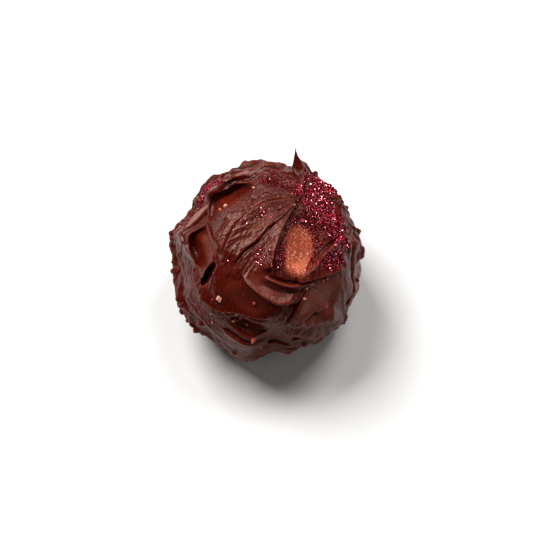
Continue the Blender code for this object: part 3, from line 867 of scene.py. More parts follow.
@dataclass
class Coating:
    """The spread chocolate: the sculpted ball with its tail, in one closed mesh."""

    ball: Ball = field(default_factory=Ball)
    cuts: int = 127
    # How much of its roughness a smooth patch loses.
    smoothing: float = 0.85
    # Strokes round the sides and the back, one after another round the ball: their number, the turn
    # from one to the next and their span in degrees, and their levels and heights in millimetres.
    strokes: int = 26
    stroke_turn: float = 137.5
    stroke_length: Pair = (40, 84)
    stroke_levels: Pair = (1.8, 19.0)
    stroke_height: Pair = (0.35, 0.85)
    stroke_climb: Pair = (-4.5, 4.5)
    stroke_run: float = 1.9
    stroke_wall: float = 0.3
    stroke_fade: float = 0.3
    stroke_trough: float = 0.2
    # Where along a stroke its places lie, how far each strays, the levels that they keep within and
    # the share of the range by which each stroke's level lies over the last one's.
    stroke_places: tuple[float, ...] = (-0.5, -0.15, 0.2, 0.5)
    stroke_stray: float = 0.6
    stroke_limits: Pair = (1.0, 21.5)
    stroke_level_step: float = 0.618
    # Beads on the sides: their number, their radii, the levels that they keep to and how directly
    # out of the face one may look. The ones on the edge of the face are set from this far out.
    side_beads: int = 40
    side_bead_radius: Pair = (0.4, 0.9)
    bead_levels: Pair = (0.8, 17.0)
    bead_face_limit: float = 0.45
    face_edge: float = 20.0
    # The pulled tail: where it leaves the face, where its point is, its foot's radius and how fast
    # it narrows.
    tail_foot: Triple = (6.5, 16.1, 1.2)
    tail_point: Triple = (5.2, 20.2, 3.0)
    tail_radius: float = 2.2
    tail_sharpness: float = 1.8
    # How far the mesh is drawn together round the tail, the face and the knife-edged facet.
    tail_gathering: float = 0.6
    tail_gathering_spread: float = math.radians(12)
    face_gathering: float = 0.25
    face_gathering_spread: float = math.radians(70)
    facet_gathering: float = 0.5
    facet_gathering_spread: float = math.radians(11)
    # The place on the face where the strokes meet at the foot of the tail, the radius of the ring of
    # noise round it, how far the noise is pressed together along the strokes, where their lines
    # start and over how much they rise, the same for where they end, and their height.
    sweep_centre: Pair = (6.0, 10.4)
    fan_ring: float = 9.0
    fan_stretch: float = 0.16
    fan_start: Pair = (1.0, 2.0)
    fan_end: Pair = (17.0, 6.0)
    fan_height: float = 0.13
    # The fine lines that cross the sweep: their bearing on the face in degrees, how far the noise
    # is pressed together along them, their height and the noise at which they turn to furrows.
    crossing_bearing: float = 75
    crossing_stretch: float = 0.3
    crossing_height: float = 0.11
    crossing_gap: float = 0.3
    # The ridges that run round the sides: how many millimetres of noise lie along a radian down the
    # side, the radius of the ring of noise round it, their height and the noise at which they turn
    # to furrows.
    ridge_pitch: float = 15.0
    ridge_ring: float = 5.0
    ridge_height: float = 0.5
    ridge_gap: float = 0.35
    # The layers that lie over one another round the sides: the angle from one to the next, their
    # height, the share of each over which it drops to the next, and the even part of their height.
    layer_spread: float = 0.1
    layer_height: float = 0.5
    layer_drop: float = 0.16
    layer_evenness: float = 0.5
    # Angles from the face's middle, in radians: where a change ends or starts, and over how much.
    # Ridges and layers start there, and the lines that cross the fan and the crumpled skin end.
    ridges_from: Pair = (1.05, 0.35)
    layers_from: Pair = (1.1, 0.25)
    crossing_until: Pair = (1.4, 0.4)
    skin_until: Pair = (1.35, 0.4)
    # How directly a place may look out of the face before the strokes of the sides die away there,
    # and over how much.
    strokes_until: Pair = (0.5, 0.3)
    # The outline's swellings, in shares of the ball's radius: how far out from the line through the
    # face's middle they start, over how much they rise, and how far behind the centre they reach.
    outline_from: Pair = (0.55, 0.35)
    outline_back: float = 1.2
    random_seed: int = 11

    def build(self, low: Array, high: Array) -> bpy.types.Object:
        """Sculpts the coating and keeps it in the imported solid's box.

        Args:
            low: The box's lowest corner in millimetres.
            high: The box's highest corner in millimetres.

        Returns:
            The coating's object, with its stains as attributes.
        """
        shape = bmesh.new()
        bmesh.ops.create_cube(shape, size=2.0)
        bmesh.ops.subdivide_edges(shape, edges=shape.edges[:], cuts=self.cuts, use_grid_fill=True)
        cube = np.array([vertex.co[:] for vertex in shape.verts])
        directions = self.gathered(unit(np.tan(cube * math.pi / 4)))
        points = directions * self.ball.radius(directions)[:, None]
        shares = {stain: np.zeros(len(points)) for stain in Stain}
        for patch in PATCHES:
            patch.add_to(shares, points, self.ball)
        rough = 1.0 - self.smoothing * shares[Stain.SMOOTH]
        relief = self.relief(points, directions, rough)
        on_face = until(relief.angle, self.skin_until)
        shares[Stain.SKIN] = on_face * (1.0 - shares[Stain.SMOOTH])
        surface = self.ball.set_on_base(self.pull_tail(points, relief.surface()))
        for vertex, place in zip(shape.verts, pressed_inside(surface, low, high) * MM):
            vertex.co = place
        made = new_piece("chocolate_coating", shape)
        made.data.shade_smooth()
        # The sharpness darkens the creases with painted shade and lightens the edges with painted
        # highlight.
        shares[Stain.EDGE] = edge_sharpness(made.data)
        self.write_attributes(made.data, points, shares)
        return made

    def gathered(self, directions: Array) -> Array:
        """The directions drawn together over the face and round the tail, for finer mesh there.

        Args:
            directions: Unit vectors from the ball's centre, in rows.

        Returns:
            The moved directions.
        """
        tail = unit(face_point(*self.tail_foot))
        facet = unit(self.ball.on_face(*KNIFE_FACET.centre))
        drawn = draw_together(directions, FACE_OUT, self.face_gathering, self.face_gathering_spread)
        drawn = draw_together(drawn, facet, self.facet_gathering, self.facet_gathering_spread)
        return draw_together(drawn, tail, self.tail_gathering, self.tail_gathering_spread)

    def relief(self, points: Array, directions: Array, rough: Array) -> Relief:
        """The folds over the ball, with fine lines where it is rough.

        Args:
            points: Places on the ball, in rows.
            directions: Unit vectors from the ball's centre, in rows.
            rough: How rough each point is, from 0 to 1.

        Returns:
            The relief.
        """
        relief = Relief(points, directions)
        self.add_lumps(relief, rough)
        for mark in (*FLATS, *FACE_FOLDS, *FACE_CRESTS, *HOLLOWS):
            mark.add_to(relief, self.ball)
        draw = random.Random(self.random_seed)
        on_sides = Relief(points, directions)
        for route, height in self.side_strokes(draw):
            stroke = Fold(
                (),
                height,
                self.stroke_run,
                self.stroke_wall,
                self.stroke_fade,
                trough=self.stroke_trough,
            )
            stroke.raise_along(on_sides, route)
        relief.heights += on_sides.heights * until(directions @ FACE_OUT, self.strokes_until)
        for centre, radius in self.beads(draw):
            away = np.linalg.norm(points - centre, axis=1) / radius
            relief.heights += radius * np.sqrt(np.maximum(1.0 - away**2, 0.0))
        self.add_outline(relief)
        self.add_fine_strokes(relief, rough)
        KNIFE_FACET.add_to(relief, self.ball)
        KNIFE_CREVICE.add_to(relief, self.ball)
        return relief

    def add_lumps(self, relief: Relief, rough: Array) -> None:
        """Adds soft lumps all over, and ridges that run round the sides where they are rough.

        Args:
            relief: What is added to.
            rough: How rough each point is, from 0 to 1.
        """
        points = relief.points
        relief.heights += SWELLS.over(points) + LUMPS.over(points)
        flat = np.stack((relief.directions @ FACE_RIGHT, relief.directions @ FACE_UP), axis=1)
        sideways = self.ridge_ring * unit(flat + TINY)
        down = self.ridge_pitch * relief.angle + RIDGE_WANDER.over(points)
        ridges = self.ridge_gap - np.abs(RIDGES.over(np.column_stack((sideways, down))))
        on_sides = rough * beyond(relief.angle, self.ridges_from)
        relief.heights += on_sides * (self.ridge_height * ridges + SIDE_GRIT.over(points))

    def add_fine_strokes(self, relief: Relief, rough: Array) -> None:
        """Adds fine lines that fan out over the face, its crumpled skin, and layers on the sides.

        Args:
            relief: What is added to.
            rough: How rough each point is, from 0 to 1.
        """
        points = relief.points
        sweep = self.sweep(points)
        lines = FAN_LINES.over(sweep * (1.0, 1.0, self.fan_stretch))
        away = sweep[:, 2]
        fan = beyond(away, self.fan_start) * until(away, self.fan_end)
        crossing = self.crossing_gap - np.abs(CROSSING_LINES.over(self.crossing(points)))
        on_face = until(relief.angle, self.crossing_until)
        fine = self.fan_height * fan * lines + self.crossing_height * on_face * crossing
        fine += FINE_GRIT.over(points)
        bend = LAYER_BEND.over(points) + LAYER_RIPPLE.over(points)
        phase = relief.angle / self.layer_spread + bend
        leaf = phase - np.floor(phase)
        swell = self.layer_evenness + LAYER_SWELL.over(points)
        layers = np.minimum(leaf, (1.0 - leaf) / self.layer_drop) * swell
        on_sides = beyond(relief.angle, self.layers_from)
        relief.heights += rough * (fine + self.layer_height * on_sides * layers)

    def crossing(self, points: Array) -> Array:
        """Coordinates for lines that cross the fan, pressed together along them.

        Args:
            points: Places on the ball, in rows.

        Returns:
            One row for each point.
        """
        right, up = points @ FACE_RIGHT, points @ FACE_UP
        angle = math.radians(self.crossing_bearing)
        along = math.cos(angle) * right + math.sin(angle) * up
        across = math.cos(angle) * up - math.sin(angle) * right
        return np.stack((self.crossing_stretch * along, across, points @ FACE_OUT), axis=1)

    def sweep(self, points: Array) -> Array:
        """Coordinates that run with the fan of strokes: round it twice over, then along it.

        Args:
            points: Places on the ball, in rows.

        Returns:
            For each point two coordinates that turn round the fan's centre, and one away from it.
        """
        right = points @ FACE_RIGHT - self.sweep_centre[0]
        up = points @ FACE_UP - self.sweep_centre[1]
        away = np.hypot(right, up) + TINY
        ring = self.fan_ring
        return np.stack((ring * right / away, ring * up / away, away), axis=1)

    def side_strokes(self, draw: random.Random) -> Iterator[tuple[Route, float]]:
        """The routes of the strokes round the sides and the back, each with its height.

        Args:
            draw: The seeded source of chance.

        Yields:
            Each stroke's route and height.
        """
        lowest, highest = self.stroke_levels
        bottom, top = self.stroke_limits
        stray = self.stroke_stray
        for k in range(self.strokes):
            bearing = self.stroke_turn * k
            level = lowest + (highest - lowest) * ((k * self.stroke_level_step) % 1.0)
            climb = draw.uniform(*self.stroke_climb)
            length = draw.uniform(*self.stroke_length)
            height = draw.uniform(*self.stroke_height)
            controls = []
            for share in self.stroke_places:
                strayed = level + climb * share + draw.uniform(-stray, stray)
                kept = min(max(strayed, bottom), top)
                controls.append(self.ball.on_side(bearing + length * share, kept))
            yield Route.through(self.ball, controls), height

    def beads(self, draw: random.Random) -> Iterator[tuple[Array, float]]:
        """The centres and radii of the beads on the edge of the face and on the sides.

        Args:
            draw: The seeded source of chance.

        Yields:
            Each bead's centre and radius.
        """
        for bearing, radius in EDGE_BEADS:
            angle = math.radians(bearing)
            right, up = self.face_edge * math.cos(angle), self.face_edge * math.sin(angle)
            yield self.ball.on_face(right, up), radius
        for _ in range(self.side_beads):
            centre = self.ball.on_side(draw.uniform(0, 360), draw.uniform(*self.bead_levels))
            radius = draw.uniform(*self.side_bead_radius)
            if unit(centre) @ FACE_OUT < self.bead_face_limit:
                yield centre, radius

    def add_outline(self, relief: Relief) -> None:
        """Adds the swellings and flats of the ball's outline, round the edge of the face.

        Args:
            relief: What is added to.
        """
        across, up, out = (relief.directions @ axis for axis in (FACE_RIGHT, FACE_UP, FACE_OUT))
        bearing = np.degrees(np.arctan2(up, across))
        at_edge = beyond(np.hypot(across, up), self.outline_from)
        at_edge *= smooth_step(out + self.outline_back)
        for centre, spread, height in OUTLINE:
            off = (bearing - centre + 180.0) % 360.0 - 180.0
            relief.heights += height * at_edge * np.exp(-((off / spread) ** 2))

    def pull_tail(self, points: Array, surface: Array) -> Array:
        """Draws the surface out to a point along the tail, narrowing as it rises.

        Args:
            points: Places on the ball, in rows.
            surface: The same points with the relief on them.

        Returns:
            The surface with its tail.
        """
        foot = face_point(*self.tail_foot)
        away = np.linalg.norm(points - self.ball.onto(foot[None])[0], axis=1) / self.tail_radius
        pull = np.maximum(1.0 - away, 0.0) ** self.tail_sharpness
        return surface + pull[:, None] * (face_point(*self.tail_point) - foot)

    def write_attributes(
        self, mesh: bpy.types.Mesh, points: Array, shares: dict[Stain, Array]
    ) -> None:
        """Writes the stains and the sweep of the strokes on the mesh's vertices.

        Args:
            mesh: The coating's mesh.
            points: Places on the ball, in rows.
            shares: Each stain's share at each point.
        """
        for stain, values in shares.items():
            layer = mesh.attributes.new(stain.value, "FLOAT", "POINT")
            layer.data.foreach_set("value", values.astype(np.float32))
        for name, places in ((SWEEP, self.sweep(points)), (CROSSING, self.crossing(points))):
            layer = mesh.attributes.new(name, "FLOAT_VECTOR", "POINT")
            layer.data.foreach_set("vector", places.astype(np.float32).ravel())


def pressed_inside(surface: Array, low: Array, high: Array, margin: float = 0.5) -> Array:
    """Keeps points in a box.

    Args:
        surface: The points in millimetres, with their origin in the middle of the base.
        low: The box's lowest corner.
        high: The box's highest corner.
        margin: The thickness of the layer inside the box into which what stands out is pressed.

    Returns:
        The points, flat at the bottom of the box and softly pressed back from its other sides.
    """
    over = np.maximum(surface - (high - margin), 0.0)
    kept = surface - over + margin * (1.0 - np.exp(-over / margin))
    under = np.maximum((low + margin) - kept, 0.0) * (1.0, 1.0, 0.0)
    kept += under - margin * (1.0 - np.exp(-under / margin))
    kept[:, 2] = np.maximum(kept[:, 2] - BASE_CUT, low[2])
    return kept


def draw_together(directions: Array, centre: Array, share: float, spread: float) -> Array:
    """The directions drawn towards a centre.

    Args:
        directions: Unit vectors.
        centre: The unit vector that they are drawn to.
        share: How much of the way the nearest ones move.
        spread: The angle over which the pull dies away, in radians.

    Returns:
        The moved unit vectors.
    """
    apart = np.arccos(np.clip(directions @ centre, -1.0, 1.0))
    kept = apart * (1.0 - share * np.exp(-((apart / spread) ** 2)))
    aside = unit(directions - (directions @ centre)[:, None] * centre + LEAST)
    return np.cos(kept)[:, None] * centre + np.sin(kept)[:, None] * aside


# How many rings of neighbours a vertex is held against, and how far it stands out on a full edge.
EDGE_RINGS = 2
FULL_EDGE = 0.06 * MM


def vertex_rows(mesh: bpy.types.Mesh, name: str) -> Array:
    """One of the mesh's vertex vectors, such as its places, in rows.

    Args:
        mesh: The mesh.
        name: The vector's name, such as co.

    Returns:
        One row for each vertex.
    """
    values = np.zeros(3 * len(mesh.vertices))
    mesh.vertices.foreach_get(name, values)
    return values.reshape(-1, 3)


def edge_sharpness(mesh: bpy.types.Mesh) -> Array:
    """How far each vertex stands out: 0 in a crease, 0.5 on a plain and 1 on an edge.

    Args:
        mesh: The mesh.

    Returns:
        One value for each vertex.
    """
    places = vertex_rows(mesh, "co")
    normals = vertex_rows(mesh, "normal")
    ends = np.zeros(2 * len(mesh.edges), dtype=np.int32)
    mesh.edges.foreach_get("vertices", ends)
    first, second = ends.reshape(-1, 2).T
    count = np.bincount(ends, minlength=len(places))[:, None]
    smoothed = places
    for _ in range(EDGE_RINGS):
        total = np.zeros_like(places)
        np.add.at(total, first, smoothed[second])
        np.add.at(total, second, smoothed[first])
        smoothed = total / count
    standing = ((places - smoothed) * normals).sum(axis=1) / FULL_EDGE
    return np.clip(0.5 + 0.5 * standing, 0.0, 1.0)


@dataclass
class Surface:
    """The finished coating, asked where things that lie on it go."""

    coating: bpy.types.Object
    # How far out of the coating a ray to it starts, and how directly a vertex looks out of the
    # swept face if it is on it.
    ray_start: float = 40 * MM
    face_limit: float = 0.3

    def __post_init__(self) -> None:
        """Reads the coating's triangles."""
        mesh = self.coating.data
        mesh.calc_loop_triangles()
        corners = np.zeros(3 * len(mesh.loop_triangles), dtype=np.int32)
        mesh.loop_triangles.foreach_get("vertices", corners)
        self.places = vertex_rows(mesh, "co")
        self.corners = corners.reshape(-1, 3)
        self.tree = BVHTree.FromPolygons(self.places.tolist(), self.corners.tolist())

    def at(self, right: float, up: float, ball: Ball) -> tuple[Vector, Vector]:
        """Where the coating's outside is over a place of the face.

        Args:
            right: How far right on the face, in millimetres.
            up: How far up on the face, in millimetres.
            ball: The ball under the coating.

        Returns:
            The point and the outward normal, in metres.
        """
        outward = Vector(unit(ball.on_face(right, up)))
        centre = Vector((0, 0, ball.base_depth * MM))
        place, normal, _, _ = self.tree.ray_cast(centre + outward * self.ray_start, -outward)
        return place, normal

    def scatter(
        self, weights: Array, count: int, draw: np.random.Generator
    ) -> tuple[Array, Array]:
        """Random places on the coating.

        Args:
            weights: How thickly they lie at each vertex.
            count: How many there are.
            draw: The seeded source of chance.

        Returns:
            The places and the outward normals there, in metres.
        """
        first, second, third = (self.places[self.corners[:, k]] for k in range(3))
        crosses = np.cross(second - first, third - first)
        chance = np.linalg.norm(crosses, axis=1) * weights[self.corners].mean(axis=1)
        chosen = draw.choice(len(chance), size=count, p=chance / chance.sum())
        a, b = draw.random(count), draw.random(count)
        folded = a + b > 1.0
        a[folded], b[folded] = 1.0 - a[folded], 1.0 - b[folded]
        start = first[chosen]
        spots = start + a[:, None] * (second[chosen] - start)
        spots += b[:, None] * (third[chosen] - start)
        return spots, unit(crosses[chosen])

    def on_face(self) -> Array:
        """1 at each vertex that lies on the swept face, and 0 at the others."""
        middle = (self.places.min(axis=0) + self.places.max(axis=0)) / 2
        return np.where(unit(self.places - middle) @ FACE_OUT > self.face_limit, 1.0, 0.0)

    def attribute(self, stain: Stain) -> Array:
        """One stain's share at each vertex.

        Args:
            stain: The stain.

        Returns:
            One value for each vertex.
        """
        values = np.zeros(len(self.places))
        self.coating.data.attributes[stain.value].data.foreach_get("value", values)
        return values


# The grains' attribute that is 1 on the crystals that carry no lustre.
PALE = "pale"


@dataclass
class SugarGrains:
    """Crimson sugar and lustre grains, each a small flat-sided crystal.

    Attributes:
        count: How many there are.
        size: The least and the most length of one.
        fineness: How much commoner the small ones are.
        pale_share: The share that carries no lustre.
        crystal: A grain's sides, as shares of its length.
        raised: How far a grain's middle stands over the coating, as a share of its length.
        sprinkled: How thickly they lie on the bare face, against the stain at its fullest.
        gathering: How strongly they keep to where the stain is full.
        margin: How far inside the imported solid's box they stay, in metres.
        random_seed: What their draw starts from.
    """

    count: int = 16000
    size: Pair = (0.08, 0.2)
    fineness: float = 2.2
    pale_share: float = 0.13
    crystal: Triple = (1.0, 0.8, 0.55)
    raised: float = 0.15
    sprinkled: float = 0.006
    gathering: float = 1.6
    margin: float = 0.3 * MM
    random_seed: int = 23

    def build(self, surface: Surface, low: Array, high: Array) -> bpy.types.Object:
        """Strews the grains where the coating carries berry sugar.

        Args:
            surface: The coating.
            low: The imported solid's lowest corner in millimetres.
            high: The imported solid's highest corner in millimetres.

        Returns:
            The grains as one object.
        """
        draw = np.random.default_rng(self.random_seed)
        weights = surface.attribute(Stain.BERRY) ** self.gathering
        weights += self.sprinkled * surface.on_face()
        weights *= 1.0 - surface.attribute(Stain.COPPER)
        weights *= 1.0 - surface.attribute(Stain.BARE)
        spots, normals = surface.scatter(weights, self.count, draw)
        above = spots > low * MM + self.margin
        below = spots < high * MM - self.margin
        inside = np.all(above & below, axis=1)
        spots, normals = spots[inside], normals[inside]
        least, most = self.size
        sizes = least + (most - least) * draw.random(len(spots)) ** self.fineness
        shape = bmesh.new()
        bmesh.ops.create_cube(shape, size=1.0)
        bmesh.ops.scale(shape, vec=self.crystal, verts=shape.verts)
        bmesh.ops.triangulate(shape, faces=shape.faces)
        corners = np.array([vertex.co[:] for vertex in shape.verts])
        faces = np.array([[vertex.index for vertex in face.verts] for face in shape.faces])
        shape.free()
        turned = np.einsum("nij,kj->nki", random_turns(draw, len(spots)), corners)
        placed = spots[:, None] + turned * (sizes * MM)[:, None, None]
        placed += (normals * (sizes * self.raised * MM)[:, None])[:, None]
        count = len(corners)
        joined = (faces[None] + count * np.arange(len(spots))[:, None, None]).reshape(-1, 3)
        mesh = bpy.data.meshes.new("berry_sugar_grains")
        mesh.from_pydata(placed.reshape(-1, 3).tolist(), [], joined.tolist())
        pale = np.repeat(draw.random(len(spots)) < self.pale_share, count).astype(np.float32)
        mesh.attributes.new(PALE, "FLOAT", "POINT").data.foreach_set("value", pale)
        return link_object("berry_sugar_grains", mesh)


def random_turns(draw: np.random.Generator, count: int) -> Array:
    """Evenly spread random rotation matrices.

    Args:
        draw: The seeded source of chance.
        count: How many there are.

    Returns:
        The matrices, one after another.
    """
    w, x, y, z = unit(draw.normal(size=(count, 4))).T
    rows = [
        [1 - 2 * (y * y + z * z), 2 * (x * y - z * w), 2 * (x * z + y * w)],
        [2 * (x * y + z * w), 1 - 2 * (x * x + z * z), 2 * (y * z - x * w)],
        [2 * (x * z - y * w), 2 * (y * z + x * w), 1 - 2 * (x * x + y * y)],
    ]
    return np.moveaxis(np.array(rows), 2, 0)


def random_side(draw: random.Random) -> Vector:
    """A random unit vector."""
    return Vector([draw.gauss(0, 1) for _ in range(3)]).normalized()


# How far away, in lumps, the field of noise that shapes a crumb may lie.
FARTHEST_FIELD = 99


@dataclass
class Crumbs:
    """Uneven crumbs of one kind, stuck in the coating.

    Attributes:
        name: The piece's name.
        places: Each crumb's (right, up, radius).
        random_seed: What their draw starts from.
        proud: How far a crumb's middle stands out, as a share of its radius.
        stretch: The least and the most that it is stretched by along each axis.
        uneven: How deep its lumps are, as a share of its radius.
        lump: How wide its lumps are, as a share of its radius.
        sides: How many flat sides it is broken to.
        cut: How far from its middle they lie, as shares of its radius.
        sharp_from: The angle from which an edge is sharp, in degrees.
    """

    name: str
    places: tuple[Triple, ...]
    random_seed: int
    proud: float = 0.25
    stretch: Pair = (0.7, 1.15)
    uneven: float = 0.3
    lump: float = 0.7
    sides: int = 7
    cut: Pair = (0.5, 0.8)
    sharp_from: float = 30

    def build(self, surface: Surface, ball: Ball) -> bpy.types.Object:
        """Makes the crumbs as one object.

        Args:
            surface: The coating.
            ball: The ball under it.

        Returns:
            The crumbs' object.
        """
        draw = random.Random(self.random_seed)
        whole = bmesh.new()
        for right, up, radius in self.places:
            place, normal = surface.at(right, up, ball)
            made = bmesh.ops.create_icosphere(whole, subdivisions=3, radius=radius * MM)["verts"]
            stretch = [draw.uniform(*self.stretch) for _ in range(3)]
            bmesh.ops.scale(whole, vec=stretch, verts=made)
            turn = Matrix.Rotation(draw.uniform(0, math.tau), 3, Vector((1, draw.random(), 1)))
            bmesh.ops.rotate(whole, cent=(0, 0, 0), matrix=turn, verts=made)
            offset = Vector([draw.uniform(0, FARTHEST_FIELD) for _ in range(3)])
            sides = [
                (random_side(draw), draw.uniform(*self.cut) * radius * MM)
                for _ in range(self.sides)
            ]
            lump = self.lump * radius * MM
            for vertex in made:
                vertex.co *= 1.0 + self.uneven * noise.noise(vertex.co / lump + offset)
                for side, depth in sides:
                    vertex.co -= max(vertex.co @ side - depth, 0.0) * side
            centre = place + normal * self.proud * radius * MM
            bmesh.ops.translate(whole, vec=centre, verts=made)
        piece = new_piece(self.name, whole)
        piece.data.shade_smooth()
        piece.data.set_sharp_from_angle(angle=math.radians(self.sharp_from))
        return piece


Value = float | tuple | bpy.types.NodeSocket


def set_inputs(
    tree: bpy.types.NodeTree, node: bpy.types.Node, inputs: dict[str | int, Value]
) -> None:
    """Gives a node's inputs their values, or links them to the sockets that feed them.

    Args:
        tree: The material's node tree.
        node: The node.
        inputs: For each input's name or number, its value or the socket that feeds it.
    """
    for name, value in inputs.items():
        if isinstance(value, bpy.types.NodeSocket):
            tree.links.new(value, node.inputs[name])
        else:
            node.inputs[name].default_value = value


def add_node(
    tree: bpy.types.NodeTree,
    kind: str,
    inputs: dict[str | int, Value] | None = None,
    out: str | int = 0,
    **settings: object,
) -> bpy.types.NodeSocket:
    """Adds one node with its settings, values and links.

    Args:
        tree: The material's node tree.
        kind: The node's type, such as ShaderNodeMix.
        inputs: For each input's name or number, its value or the socket that feeds it.
        out: The name or number of the output that is wanted.
        **settings: The node's own settings.

    Returns:
        That output.
    """
    made = tree.nodes.new(kind)
    for name, value in settings.items():
        setattr(made, name, value)
    set_inputs(tree, made, inputs or {})
    return made.outputs[out]


def new_material(name: str) -> tuple[bpy.types.Material, bpy.types.NodeTree, bpy.types.Node]:
    """Starts a material.

    Args:
        name: The material's name.

    Returns:
        The material, its node tree and its Principled shader.
    """
    material = bpy.data.materials.new(name)
    material.use_nodes = True
    tree = material.node_tree
    return material, tree, tree.nodes["Principled BSDF"]


# The inputs and the output of a colour Mix node, which share their names with its other kinds.
FACTOR, FROM_COLOUR, TO_COLOUR, MIXED = 0, 6, 7, 2


